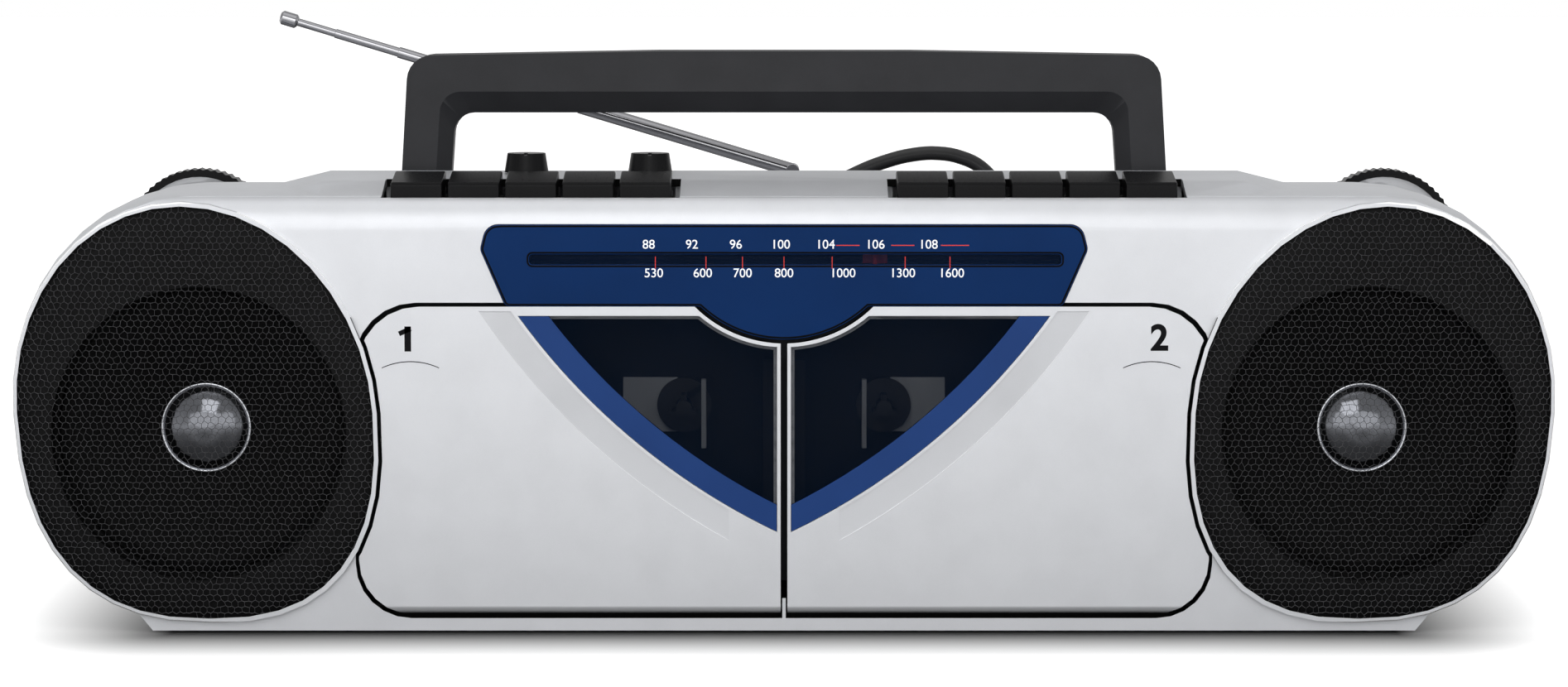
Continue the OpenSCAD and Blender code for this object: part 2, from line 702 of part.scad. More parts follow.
// Dial
module dial_lens() { color("royalblue") slab(lens_y, lens_y + lens_t) lens_2d(0); }
rail_r = 1.2;
rail_set = 2.4;
rail_end = 3;
tab_w = 4;
tab_h = 6;
rail_y = plate_y + plate_t + rail_set;
module dial_plate() {
  mid = slot_z + slot_h / 2;
  color("navy") {
    difference() {
      slab(plate_y, plate_y + plate_t)
        polygon(plate(-lens_w / 2, lens_w / 2, lens_bottom + door_gap, lens_top - eps, lens_radii[0]));
      slab(plate_y - cut, plate_y + plate_t + cut)
        polygon(plate(slot_left, slot_right, slot_z, slot_z + slot_h, slot_h / 3));
    }
    for (x = [slot_left - 2 * rail_end, slot_right + rail_end])
      box(x, x + rail_end, plate_y + plate_t - lap, rail_y + rail_r + eps,
          mid - rail_end + gap, mid + rail_end - gap);
    rod_x(slot_left - rail_end - cut, slot_right + rail_end + cut, rail_y, mid, rail_r);
    both_sides() box(lens_w / 2 - 2 * tab_w, lens_w / 2 - tab_w, face_in_y, plate_y + lap,
                     lens_bottom + door_gap + gap, lens_bottom + door_gap + gap + tab_h);
  }
}
needle_w = 1.4;
needle_t = 0.8;
needle_short = 3;
shoe_half = 4;
module dial_pointer() {
  mid = slot_z + slot_h / 2;
  color("red") {
    box(pointer_x - needle_w / 2, pointer_x + needle_w / 2, plate_y - gap - needle_t, plate_y - gap,
        lens_bottom + needle_short, lens_top - needle_short);
    box(pointer_x - needle_w / 2, pointer_x + needle_w / 2, plate_y - needle_t, rail_y - rail_r,
        slot_z + eps, slot_z + slot_h - eps);
    difference() {
      box(pointer_x - shoe_half, pointer_x + shoe_half, plate_y + plate_t + gap, rail_y + rail_r + needle_t,
          mid - rail_end + gap, mid + rail_end - gap);
      rod_x(pointer_x - shoe_half - cut, pointer_x + shoe_half + cut, rail_y, mid, rail_r + fit);
    }
  }
}

// Edge wheels with finely notched rims, on the shafts of their controls
bush_r = 4.8;
bush_l = 4;
pot_back_y = wheel_y - 16;
pot_l = 14;
pot_r = 11;
pot_wall = 2;
pot_y = pot_back_y - pot_l;
notch_count = 60;
notch_d = 0.6;
module edge_wheel(x) {
  slab(wheel_y - wheel_t / 2, wheel_y + wheel_t / 2) translate([x, wheel_z]) difference() {
    polygon([for (i = [0 : 2 * notch_count - 1]) (wheel_r - (i % 2) * notch_d)
             * [cos(180 * i / notch_count), sin(180 * i / notch_count)]]);
    for (a = [0 : 60 : 300]) rotate(a) translate([wheel_r * 0.58, 0]) circle(wheel_r * 0.17);
  }
  rod_y(pot_y + pot_wall, wheel_y, x, wheel_z, wheel_shaft_r);
}
module tuning_wheel() { color("black") edge_wheel(tuning_x); }
module volume_wheel() { color("black") edge_wheel(volume_x); }
switch_w = 12;
switch_h = 11;
switch_gap = 1.5;
shaft_l = 8;
pot_top = deck_top - wall - switch_gap;
module control_pots() {
  color("lightgray") {
    for (x = [tuning_x, volume_x]) difference() {
      union() {
        rod_y(pot_y, pot_back_y, x, wheel_z, pot_r);
        rod_y(pot_back_y - eps, pot_back_y + wall + bush_l, x, wheel_z, bush_r);
      }
      rod_y(pot_y + pot_wall - gap, wheel_y, x, wheel_z, wheel_shaft_r + fit);
    }
    for (x = [function_x, band_x]) difference() {
      box(x - switch_w / 2, x + switch_w / 2, knob_y - switch_w / 2, knob_y + switch_w / 2,
          pot_top - switch_h, pot_top);
      rod_z(pot_top - shaft_l - gap, pot_top + cut, x, knob_y, shaft_r + fit);
    }
  }
}
knob_taper = 1;
knob_mark = 0.6;
module small_knob(x) {
  translate([x, knob_y, deck_top]) difference() {
    cylinder(h = knob_h, r1 = knob_r, r2 = knob_r - knob_taper);
    translate([-knob_mark, -knob_r, knob_h - knob_mark]) cube([2 * knob_mark, knob_r, cut]);
  }
  rod_z(pot_top - shaft_l, deck_top + eps, x, knob_y, shaft_r);
}
module function_knob() { color("black") small_knob(function_x); }
module band_knob() { color("black") small_knob(band_x); }

// Cassette doors: panel, barrel on the hinge rod, window seat and a shallow facet beside the window
window_t = 2;
window_set = 0.2;
window_seat = 1.2;
facet_d = 0.4;
facet_gap = 1;
facet_edge = 1.5;
facet_up = 14;
facet_in = 18;
module door() {
  difference() {
    intersection() {
      slab(door_y, door_y + door_t) door_2d(0);
      union() {
        box(-door_out, 0, door_y - cut, door_y + door_t + cut, hinge_z, door_high + cut);
        rod_x(-door_out, 0, hinge_y, hinge_z, door_t / 2);
      }
    }
    slab(door_y - cut, door_y + window_t + window_set) window_2d(0);
    slab(door_y - cut, door_y + door_t + cut) window_2d(window_seat);
    slab(door_y - cut, door_y + facet_d) intersection() {
      door_2d(facet_edge);
      translate(window_c) difference() {
        circle(door_ridge_r, $fn = 192);
        circle(window_r + facet_gap, $fn = 192);
      }
      translate([-door_out, door_low + facet_up]) square([door_out - facet_in, door_h]);
    }
    rod_x(-door_out, cut, hinge_y, hinge_z, rod_r + fit);
  }
}
module window() { slab(door_y + window_set, door_y + window_set + window_t) window_2d(seat_fit); }
module door_left() { color("silver") door(); }
module door_right() { color("silver") mirror([1, 0, 0]) door(); }
module window_left() { color("midnightblue") window(); }
module window_right() { color("midnightblue") mirror([1, 0, 0]) window(); }

// Tape holder: two rails joined by a ledge, open at the back for the spindles
holder_out = tape_x - tape_w / 2 - tape_play;
holder_in = tape_x + tape_w / 2 + tape_play;
holder_lip = 4;
holder_ledge = 5.5;
holder_play = 0.3;
holder_drop = [9, 19];
module tape_holder() {
  y0 = door_y + door_t;
  z0 = tape_low - holder_t - holder_play;
  for (s = [[holder_out - holder_t, holder_out, holder_out + holder_lip, door_high - holder_drop[0]],
            [holder_in + holder_t, holder_in, holder_in - holder_lip, door_high - holder_drop[1]]]) {
    box(min(s[0], s[1]), max(s[0], s[1]), y0, pocket_back + holder_t, z0, s[3]);
    box(min(s[0], s[2]), max(s[0], s[2]), pocket_back, pocket_back + holder_t, z0, s[3]);
  }
  box(holder_out - holder_t, holder_in + holder_t, y0, y0 + holder_ledge, z0, z0 + holder_t);
}
module tape_holder_left() { color("dimgray") tape_holder(); }
module tape_holder_right() { color("dimgray") mirror([1, 0, 0]) tape_holder(); }
module door_hinge_rod() { color("gray") rod_x(-rod_half, rod_half, hinge_y, hinge_z, rod_r); }

// Deck chassis: one plate behind both doors, on posts from the front wall
reel_x = [tape_x - hub_pitch / 2, tape_x + hub_pitch / 2];
reel_axle_r = 1.5;
reel_bearing_l = 4;
capstan_x = tape_x + 18;
capstan_z = tape_low + 7;
capstan_r = 1.25;
bearing_r = 4;
flywheel_r = 20;
flywheel_t = 5;
bearing_l = 14;
board_room = 3.5;
board_t = 1.6;
chassis_back = chassis_y + chassis_t;
flywheel_y = chassis_back + bearing_l + gap;
board_y = flywheel_y + flywheel_t + board_room;
standoff = [[100, 24], [100, 104]];
standoff_r = 3;
motor_z = 88;
motor_r = 15;
motor_l = 13;
chassis_edge = 4;
chassis_low = post_z[0] - chassis_edge - cut;
chassis_high = post_z[1] + chassis_edge + 2 * cut;
module deck_chassis() {
  color("lightgray") difference() {
    union() {
      slab(chassis_y, chassis_back)
        polygon(plate(-post_x - chassis_edge, post_x + chassis_edge,
                      chassis_low, chassis_high, chassis_edge));
      both_sides() {
        for (p = standoff) rod_y(chassis_back - lap, board_y, p[0], p[1], standoff_r);
        rod_y(chassis_back - lap, chassis_back + bearing_l, -capstan_x, capstan_z, bearing_r);
        for (x = reel_x) rod_y(chassis_back - lap, chassis_back + reel_bearing_l, x, hub_z, bearing_r);
      }
    }
    both_sides() {
      rod_y(chassis_y - cut, chassis_back + cut, cone_x, cone_z, flange_r + chassis_edge);
      rod_y(chassis_y - cut, chassis_back + bearing_l + cut, -capstan_x, capstan_z, capstan_r + fit);
      for (x = reel_x)
        rod_y(chassis_y - cut, chassis_back + reel_bearing_l + cut, x, hub_z, reel_axle_r + fit);
    }
  }
}

module deck_posts() {
  color("gray") both_sides() for (z = post_z) rod_y(face_in_y, chassis_y, post_x, z, post_r);
}

// Reel spindle: base disc, axle and a three-lobed drive that enters the cassette hub
lobe_r = 4.2;
lobe_w = 1.8;
spindle_r = 2.6;
spindle_in = 4;
reel_base_r = 9;
reel_base_t = 2;
module reel(x) {
  base_y = chassis_y - gap - reel_base_t;
  rod_y(base_y, chassis_y - gap, x, hub_z, reel_base_r);
  rod_y(chassis_y - eps, chassis_back + reel_bearing_l + eps, x, hub_z, reel_axle_r);
  rod_y(pocket_y + spindle_in, base_y + lap, x, hub_z, spindle_r);
  slab(pocket_y + 1.5 * spindle_in, base_y + lap) translate([x, hub_z])
    for (a = [90, 210, 330]) rotate(a)
      translate([spindle_r / 2, -lobe_w / 2]) square([lobe_r - spindle_r / 2, lobe_w]);
}
module reel_left_outer() { color("whitesmoke") reel(reel_x[0]); }
module reel_left_inner() { color("whitesmoke") reel(reel_x[1]); }
module reel_right_inner() { color("whitesmoke") reel(-reel_x[1]); }
module reel_right_outer() { color("whitesmoke") reel(-reel_x[0]); }

// Flywheel or pulley with a flat groove for the belt
groove_d = 0.8;
groove_w = 3.2;
capstan_in = 3;
module grooved(x, z, r) {
  difference() {
    rod_y(flywheel_y, flywheel_y + flywheel_t, x, z, r);
    translate([x, flywheel_y + flywheel_t / 2, z]) rotate([90, 0, 0])
      rotate_extrude() translate([r - groove_d, -groove_w / 2]) square([groove_d + cut, groove_w]);
  }
}
module capstan(x) {
  rod_y(pocket_y + capstan_in, flywheel_y + flywheel_t, x, capstan_z, capstan_r);
  grooved(x, capstan_z, flywheel_r);
}
module capstan_left() { color("gray") capstan(capstan_x); }
module capstan_right() { color("gray") capstan(-capstan_x); }

pulley_r = 4;
shaft_end_r = 1;
motor_neck = 0.8;
motor_wall = 2;
module motor() {
  color("silver") difference() {
    union() {
      rod_y(chassis_back, chassis_back + motor_l, 0, motor_z, motor_r);
      rod_y(chassis_back + motor_l - lap, chassis_back + motor_l + motor_neck, 0, motor_z, pulley_r);
    }
    rod_y(chassis_back + motor_wall, chassis_back + motor_l + motor_wall, 0, motor_z, shaft_end_r + fit);
  }
}
module motor_pulley() {
  color("gold") {
    rod_y(chassis_back + motor_wall + cut, flywheel_y + eps, 0, motor_z, shaft_end_r);
    grooved(0, motor_z, pulley_r);
  }
}
belt_t = 0.8;
belt_w = 2.4;
belt_gap = 0.3;
module belt_2d(e) {
  inset = groove_d - belt_gap;
  hull() {
    translate([0, motor_z]) circle(pulley_r - inset + e, $fn = 32);
    for (x = [capstan_x, -capstan_x]) translate([x, capstan_z]) circle(flywheel_r - inset + e, $fn = 32);
  }
}
module drive_belt() {
  y = flywheel_y + flywheel_t / 2;
  color("black") slab(y - belt_w / 2, y + belt_w / 2) difference() {
    belt_2d(belt_t);
    belt_2d(0);
  }
}

// Heads below each cassette, with a pinch roller beside the capstan
head_w = 14;
head_h = 11;
head_drop = 3;
head_in = 4;
bridge_half = 26;
bridge_h = 10;
roller_r = 4;
module tape_head() {
  head_top = tape_low - head_drop;
  box(tape_x - head_w / 2, tape_x + head_w / 2, pocket_y + head_in, chassis_y, head_top - head_h, head_top);
  box(tape_x - bridge_half, tape_x + bridge_half, chassis_y - chassis_t, chassis_y,
      head_top - head_drop - bridge_h, head_top - head_drop);
  rod_y(pocket_y + 1.5 * head_in, chassis_y, capstan_x, tape_low - 2 * roller_r, roller_r);
}
module tape_heads() { color("gray") both_sides() tape_head(); }

// Main board on the chassis standoffs, with the tallest parts on its back
board_edge = 12;
board_low = 18;
board_high = 112;
part_h = 7;
can_r = 5;
can_pitch = 30;
can_z = 90;
can_reach = 90;
chip_half = 30;
chip_z = [40, 62];
coil_box = [70, 96, 40, 70];
module main_board() {
  back = board_y + board_t;
  half = standoff[0][0] + board_edge;
  color("darkgreen") {
    slab(board_y, back) polygon(plate(-half, half, board_low, board_high, board_t));
    for (x = [-can_reach : can_pitch : can_reach]) rod_y(back - lap, back + part_h, x, can_z, can_r);
    box(-chip_half, chip_half, back - lap, back + part_h - cut, chip_z[0], chip_z[1]);
    box(coil_box[0], coil_box[1], back - lap, back + part_h, coil_box[2], coil_box[3]);
  }
}

trafo_x0 = 62;
trafo_w = 44;
trafo_y0 = 16;
trafo_d = 34;
trafo_z = 9;
trafo_core = 8;
trafo_x1 = trafo_x0 + trafo_w;
trafo_y1 = trafo_y0 + trafo_d;
module transformer() {
  w = trafo_w;
  color("dimgray") {
    box(trafo_x0, trafo_x1, trafo_y0 + trafo_core, trafo_y1 - trafo_core, trafo_z, trafo_z + w * 0.85);
    box(trafo_x0 + w * 0.2, trafo_x1 - w * 0.2, trafo_y0, trafo_y1, trafo_z + w * 0.15, trafo_z + w * 0.7);
  }
}
contact_t = 0.8;
contact_d = 32;
contact_h = 18;
contact_in = 4;
contact_z = [6, 34];
module battery_contacts() {
  color("gold") for (x = [bay_x0, bay_x1 - contact_t], up = contact_z)
    box(x, x + contact_t, bay_y0 + contact_in, bay_y0 + contact_in + contact_d,
        bay_z0 + up, bay_z0 + up + contact_h);
}

// Piano keys: cap, arm and a boss on the axle
module key(x) {
  difference() {
    run_x(x - key_w / 2, x + key_w / 2) {
      polygon([[key_front_y, key_low_z], [key_front_y + key_skirt_d, key_low_z],
               [key_back_y, key_axle_z - key_boss_r],
               [key_axle_y, key_axle_z - key_boss_r], [key_axle_y, key_axle_z + key_boss_r],
               [key_back_y, key_axle_z + key_boss_r + key_edge], [key_back_y, key_top_z - key_edge],
               [key_back_y - key_edge, key_top_z], [key_front_y + key_edge, key_lip_z],
               [key_front_y, key_lip_z - key_edge]]);
      translate([key_axle_y, key_axle_z]) circle(key_boss_r);
    }
    rod_x(x - key_w, x + key_w, key_axle_y, key_axle_z, key_axle_r + fit);
  }
}
function key_x(side, i) = side * key_mid + (i - (key_count + 1) / 2) * key_pitch;
module key_left_1() { color("black") key(key_x(-1, 1)); }
module key_left_2() { color("black") key(key_x(-1, 2)); }
module key_left_3() { color("black") key(key_x(-1, 3)); }
module key_left_4() { color("black") key(key_x(-1, 4)); }
module key_left_5() { color("black") key(key_x(-1, 5)); }
module key_right_1() { color("black") key(key_x(1, 1)); }
module key_right_2() { color("black") key(key_x(1, 2)); }
module key_right_3() { color("black") key(key_x(1, 3)); }
module key_right_4() { color("black") key(key_x(1, 4)); }
module key_right_5() { color("black") key(key_x(1, 5)); }
module key_axles() {
  color("gray") both_sides() rod_x(well_in - eps, well_out + eps, key_axle_y, key_axle_z, key_axle_r);
}

// Handle: an arched bar on two legs, bevelled towards the hand, with moulded pivots
handle_leg = 15.5;
handle_lean = 3.5;
handle_arch = 1.7;
leg_bevel = 4.5;
bar_bevel = 7.3;
bevel_d = 6;
handle_round = 8.5;
grip_round = 7;
pivot_root = 2;
handle_outline =
  let (o = handle_w / 2, t = o - handle_lean, top = pivot_z + handle_h, low = pivot_z - handle_d / 2)
  rounded(concat([[-o, low], [o, low], [t, top - handle_arch]],
                 [for (i = [2 : -1 : -2]) [t * i / 3, top - handle_arch * pow(i / 3, 2)]],
                 [[-t, top - handle_arch]]), [0, 0, handle_round, 0, 0, 0, 0, 0, handle_round]);
// Ring of the finger opening at depth y: share of the bevel
function grip_ring(y, share) =
  let (o = handle_w / 2 - handle_leg + leg_bevel * share, t = o - handle_lean, low = pivot_z - handle_d,
       bar = pivot_z + handle_h - handle_bar - bar_bevel * (1 - share))
  [for (p = rounded([[-o, low], [o, low], [t, bar], [-t, bar]], [0, 0, grip_round, grip_round]))
    [p[0], y, p[1]]];
module handle() {
  y0 = pivot_y - handle_d / 2;
  y1 = pivot_y + handle_d / 2;
  over = 1 + eps / bevel_d;
  color("dimgray") {
    difference() {
      intersection() {
        slab(y0, y1) polygon(handle_outline);
        run_x(-handle_w, handle_w) {
          translate([pivot_y, pivot_z]) circle(handle_d / 2);
          translate([y0 - cut, pivot_z]) square([handle_d + 2 * cut, handle_h + cut]);
        }
      }
      loft([grip_ring(y0 - eps, over), grip_ring(y0 + bevel_d, 0),
            grip_ring(y1 - bevel_d, 0), grip_ring(y1 + eps, over)]);
    }
    both_sides() rod_x(handle_w / 2 - pivot_root, recess_half + wall - lap, pivot_y, pivot_z, pivot_r);
  }
}

// Antenna: swivel with a fork, tilting outer tube and two sliding sections
swivel_drop = 3.9;
swivel_pin_l = 10;
swivel_t = 1.4;
swivel_lift = 0.2;
fork_gap = 0.5;
fork_t = 1.8;
swivel_z = body_top - swivel_drop;
fork_in = mast_r + fork_gap;
fork_out = fork_in + fork_t;
fork_r = 2.4;
fork_pin_r = 1.1;
module antenna_swivel() {
  color("silver") {
    rod_z(swivel_z - swivel_pin_l, swivel_z + swivel_t, mast_x, mast_y, swivel_pin_r);
    rod_z(swivel_z + swivel_lift, swivel_z + swivel_lift + swivel_t, mast_x, mast_y, swivel_r);
    for (s = [-1, 1]) {
      y = mast_y + s * (fork_in + fork_out) / 2;
      rod_y(y - fork_t / 2, y + fork_t / 2, mast_x, mast_z, fork_r);
      box(mast_x - fork_r, mast_x + fork_r, y - fork_t / 2, y + fork_t / 2, swivel_z + swivel_t, mast_z);
    }
    rod_y(mast_y - fork_out, mast_y + fork_out, mast_x, mast_z, fork_pin_r);
  }
}
mast_wall = 0.45;
tube_wall = 0.3;
tube_2_r = mast_r - mast_wall - fit;
tube_2_l = 72;
tube_2_in = 6;
tube_2_s = mast_l - tube_2_in;
tube_3_r = tube_2_r - tube_wall - fit;
tube_3_l = 68;
tube_3_out = 23;
tube_3_s = tube_2_s + tube_2_l + tube_3_out - tube_3_l;
tip_step = 0.25;
tip_edge = 0.8;
mast_root = 8;
knuckle_step = 0.2;
tip_neck_r = tube_3_r - tip_step;
tip_neck_l = 13.6;
tip_r = 2.5;
tip_l = 6.4;
module along_mast(s) {
  translate([mast_x, mast_y, mast_z]) rotate([0, mast_tilt - 90, 0]) translate([0, 0, s]) children();
}
module antenna_mast() {
  color("silver") difference() {
    union() {
      rod_y(mast_y - mast_r, mast_y + mast_r, mast_x, mast_z, mast_r - knuckle_step);
      along_mast(0) cylinder(h = mast_l, r = mast_r);
    }
    along_mast(mast_root) cylinder(h = mast_l, r = tube_2_r + fit);
    rod_y(mast_y - fork_out, mast_y + fork_out, mast_x, mast_z, fork_pin_r + fit);
  }
}
module antenna_tube_2() {
  color("silver") along_mast(tube_2_s) difference() {
    cylinder(h = tube_2_l, r = tube_2_r);
    translate([0, 0, -cut]) cylinder(h = tube_2_l + 2 * cut, r = tube_3_r + fit);
  }
}
module antenna_tube_3() {
  color("silver") along_mast(tube_3_s) rotate_extrude()
    polygon([[0, 0], [tube_3_r, 0], [tube_3_r, tube_3_l], [tip_neck_r, tube_3_l],
             [tip_neck_r, tube_3_l + tip_neck_l], [tip_r - tip_edge, tube_3_l + tip_neck_l],
             [tip_r, tube_3_l + tip_neck_l + tip_edge], [tip_r, tube_3_l + tip_neck_l + tip_l - tip_edge],
             [tip_r - tip_edge, tube_3_l + tip_neck_l + tip_l], [0, tube_3_l + tip_neck_l + tip_l]]);
}

// Mains lead: an upright tapered relief, a loop over the back edge, then down to the floor and a coil
relief_set = 11;
relief_wall = 0.9;
collar_w = 2;
collar_t = 1.6;
relief_r = grommet_r - gap;
relief_y = back_y + relief_set;
relief_low = lead_z - 9;
relief_top = lead_z + 12;
module lead_grommet() {
  color("black") {
    rod_y(back_y - wall - cut, relief_y, lead_x, lead_z, relief_r);
    rod_y(back_y, back_y + collar_t, lead_x, lead_z, grommet_r + collar_w);
    rod_z(relief_low, lead_z, lead_x, relief_y, relief_r);
    translate([lead_x, relief_y, lead_z])
      cylinder(h = relief_top - lead_z, r1 = relief_r, r2 = lead_d / 2 + relief_wall);
  }
}
lead_route = [[77, 81, 127], [77, 81, 132], [75, 81, 138], [70, 81.5, 144], [63, 82, 147.5], [55, 82, 149],
  [46, 82.5, 148.5], [36, 83, 146], [26, 83.5, 142], [17, 84, 137], [8, 85, 130], [0, 86, 121], [-7, 87, 110],
  [-12, 88, 98], [-16, 89, 84], [-18, 90, 70], [-18, 91, 56], [-17, 92, 42], [-15, 93, 30], [-11, 94, 19],
  [-5, 95, 10.5], [3, 95, 5.2], [12, 94, 3], [23, 91.5, 2.6], [35, 88, 2.6], [48, 85, 2.6], [62, 83.6, 2.6],
  [75, 83.4, 2.6], [85, 83.4, 2.6]];
coil_c = [90, 120.8];
coil_r_out = 37.4;
coil_step = 5.6;
coil_turns = 7.5;
loop_rings = 24;
function coil_at(u) =
  let (mid = coil_turns / 2, r = coil_r_out - coil_step * (mid - abs(u - mid)), a = -90 + 360 * u,
       climb = max(0, min(1, (u - mid + 0.25) / 0.5)))
  [coil_c[0] + r * cos(a), coil_c[1] + r * sin(a), 2.6 + coil_step * climb];
coil_path = let (n = coil_turns * loop_rings, p = [for (k = [0 : n]) coil_at(k / loop_rings)])
  concat([p[0] - [lead_d, 0, 0]], p, [p[n] - [lead_d, 0, 0]]);

// Tube along a path: rings turned with the path without twist
function tangents(p) =
  let (m = len(p) - 1)
  [for (i = [0 : m]) unit(p[min(i + 1, m)] - p[max(i - 1, 0)])];
function carried(t, i, v) =
  i == len(t) ? [] : let (w = unit(v - (v * t[i]) * t[i])) concat([w], carried(t, i + 1, w));
module tube(p, r, sides, first) {
  t = tangents(p);
  v = carried(t, 0, first);
  m = len(p);
  polyhedron(
    points = [for (k = [0 : m - 1], i = [0 : sides - 1])
      p[k] + r * (cos(360 * i / sides) * v[k] + sin(360 * i / sides) * cross(t[k], v[k]))],
    faces = concat(
      [[for (i = [0 : sides - 1]) i]],
      [for (k = [0 : m - 2], i = [0 : sides - 1])
        [k * sides + i, (k + 1) * sides + i, (k + 1) * sides + (i + 1) % sides]],
      [for (k = [0 : m - 2], i = [0 : sides - 1])
        [k * sides + i, (k + 1) * sides + (i + 1) % sides, k * sides + (i + 1) % sides]],
      [[for (i = [sides - 1 : -1 : 0]) (m - 1) * sides + i]]));
}
module mains_lead() { color("black") tube(lead_route, lead_d / 2, 10, [0, 1, 0]); }
module lead_coil() { color("black") tube(coil_path, lead_d / 2, 6, [0, 0, 1]); }
function path_length(p) = [for (i = [1 : len(p) - 1]) norm(p[i] - p[i - 1])] * [for (i = [1 : len(p) - 1]) 1];
coil_gap = min([for (i = [0 : len(coil_path) - 1], j = [i + loop_rings / 2 : len(coil_path) - 1])
  norm(coil_path[i] - coil_path[j])]) - lead_d;
echo(coil_gap = coil_gap, lead_length = path_length(lead_route) + path_length(coil_path) - lead_d);

// Two-blade plug lying beside the coil's outer end
plug_neck = 27;
plug_l = 24;
plug_w = 22;
plug_h = 16;
plug_radii = [2, 2, 4, 2, 2, 4];
neck_wall = [0.6, 2.6];
blade_l = 18;
blade_t = 1.5;
blade_h = 6.4;
blade_gap = 12.7;
module mains_plug() {
  e = coil_path[len(coil_path) - 1];
  x1 = e[0] - plug_neck;
  color("black") {
    translate(e) rotate([0, -90, 0])
      cylinder(h = plug_neck + cut, r1 = lead_d / 2 + neck_wall[0], r2 = lead_d / 2 + neck_wall[1]);
    translate([0, 0, e[2] - plug_h / 2]) linear_extrude(plug_h)
      polygon(rounded([[x1, e[1] - plug_w / 4], [x1, e[1] + plug_w / 4], [x1 - plug_l / 3, e[1] + plug_w / 2],
                       [x1 - plug_l, e[1] + plug_w / 2], [x1 - plug_l, e[1] - plug_w / 2],
                       [x1 - plug_l / 3, e[1] - plug_w / 2]], plug_radii));
    for (s = [-1, 1])
      translate([x1 - plug_l - blade_l, e[1] + s * blade_gap / 2 - blade_t / 2, e[2] - blade_h / 2])
        cube([blade_l + cut, blade_t, blade_h]);
  }
}

front_cabinet();
rear_cabinet();
battery_door();
rubber_feet();
case_screws();
grille_left();
grille_right();
speaker_frames();
speaker_cone_left();
speaker_cone_right();
dial_lens();
dial_plate();
dial_pointer();
tuning_wheel();
volume_wheel();
control_pots();
function_knob();
band_knob();
door_left();
window_left();
tape_holder_left();
door_right();
window_right();
tape_holder_right();
door_hinge_rod();
deck_chassis();
deck_posts();
key_axles();
key_left_1();
key_left_2();
key_left_3();
key_left_4();
key_left_5();
key_right_1();
key_right_2();
key_right_3();
key_right_4();
key_right_5();
reel_left_outer();
reel_left_inner();
reel_right_inner();
reel_right_outer();
capstan_left();
capstan_right();
motor();
motor_pulley();
drive_belt();
tape_heads();
main_board();
transformer();
battery_contacts();
handle();
antenna_swivel();
antenna_mast();
antenna_tube_2();
antenna_tube_3();
lead_grommet();
mains_lead();
lead_coil();
mains_plug();
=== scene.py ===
"""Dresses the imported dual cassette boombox: finishes, fine pieces, mains lead, studio and camera."""

import json
import math

import bpy
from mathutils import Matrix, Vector


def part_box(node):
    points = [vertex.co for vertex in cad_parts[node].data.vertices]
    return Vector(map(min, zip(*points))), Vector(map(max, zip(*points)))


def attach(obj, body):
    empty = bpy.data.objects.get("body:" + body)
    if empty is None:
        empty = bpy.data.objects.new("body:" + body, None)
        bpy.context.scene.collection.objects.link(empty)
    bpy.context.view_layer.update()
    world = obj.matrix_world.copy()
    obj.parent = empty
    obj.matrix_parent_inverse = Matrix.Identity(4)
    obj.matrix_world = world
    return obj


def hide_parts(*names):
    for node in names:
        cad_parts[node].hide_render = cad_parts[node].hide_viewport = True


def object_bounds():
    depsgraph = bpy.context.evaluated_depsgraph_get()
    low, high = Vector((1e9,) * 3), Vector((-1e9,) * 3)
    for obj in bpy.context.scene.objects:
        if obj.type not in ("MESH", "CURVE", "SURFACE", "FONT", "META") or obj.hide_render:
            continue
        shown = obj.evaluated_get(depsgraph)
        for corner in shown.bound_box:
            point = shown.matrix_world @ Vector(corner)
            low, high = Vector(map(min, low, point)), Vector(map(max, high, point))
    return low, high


bl_info = {
    "name": "Dual cassette boombox",
    "version": (1, 0, 0),
    "blender": (4, 5, 0),
    "location": "View3D > Sidebar > Boombox",
    "description": "Builds the looks of a dual cassette boombox around its packed solids",
    "category": "Object",
}

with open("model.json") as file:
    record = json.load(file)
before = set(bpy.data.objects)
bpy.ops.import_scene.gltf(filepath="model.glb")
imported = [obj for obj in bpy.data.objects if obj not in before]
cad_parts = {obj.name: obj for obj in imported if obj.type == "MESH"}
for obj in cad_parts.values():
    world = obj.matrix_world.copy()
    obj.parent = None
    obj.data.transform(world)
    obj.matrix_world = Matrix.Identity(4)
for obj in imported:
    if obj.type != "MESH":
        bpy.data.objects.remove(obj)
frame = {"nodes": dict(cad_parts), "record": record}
CAD_LOW, CAD_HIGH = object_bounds()
NODES = frame["nodes"]
MEMBERS = frame["record"]["behaviour"]["bodies"]
BODY_OF = {node: body for body, members in MEMBERS.items() for node in members}

MM = 0.001
SIDES = (("left", -1), ("right", 1))
FACING = (math.pi / 2, 0, 0)  # turns what lies flat to face the front

# Places that the pieces share, taken from the frame
LENS_LOW, LENS_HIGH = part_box("dial_lens")
DOOR_LOW, DOOR_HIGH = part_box("door_right")
PANE_LOW, PANE_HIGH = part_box("window_right")
GRILLE_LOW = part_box("grille_right")[0]
CONE_LOW, CONE_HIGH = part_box("speaker_cone_right")
CONE_MID = (CONE_LOW + CONE_HIGH) / 2


# Selecting, editing and finishing, as by hand

def alone(obj):
    """Leaves this object as the only one selected, and active."""
    bpy.ops.object.select_all(action="DESELECT")
    obj.select_set(True)
    bpy.context.view_layer.objects.active = obj
    return obj


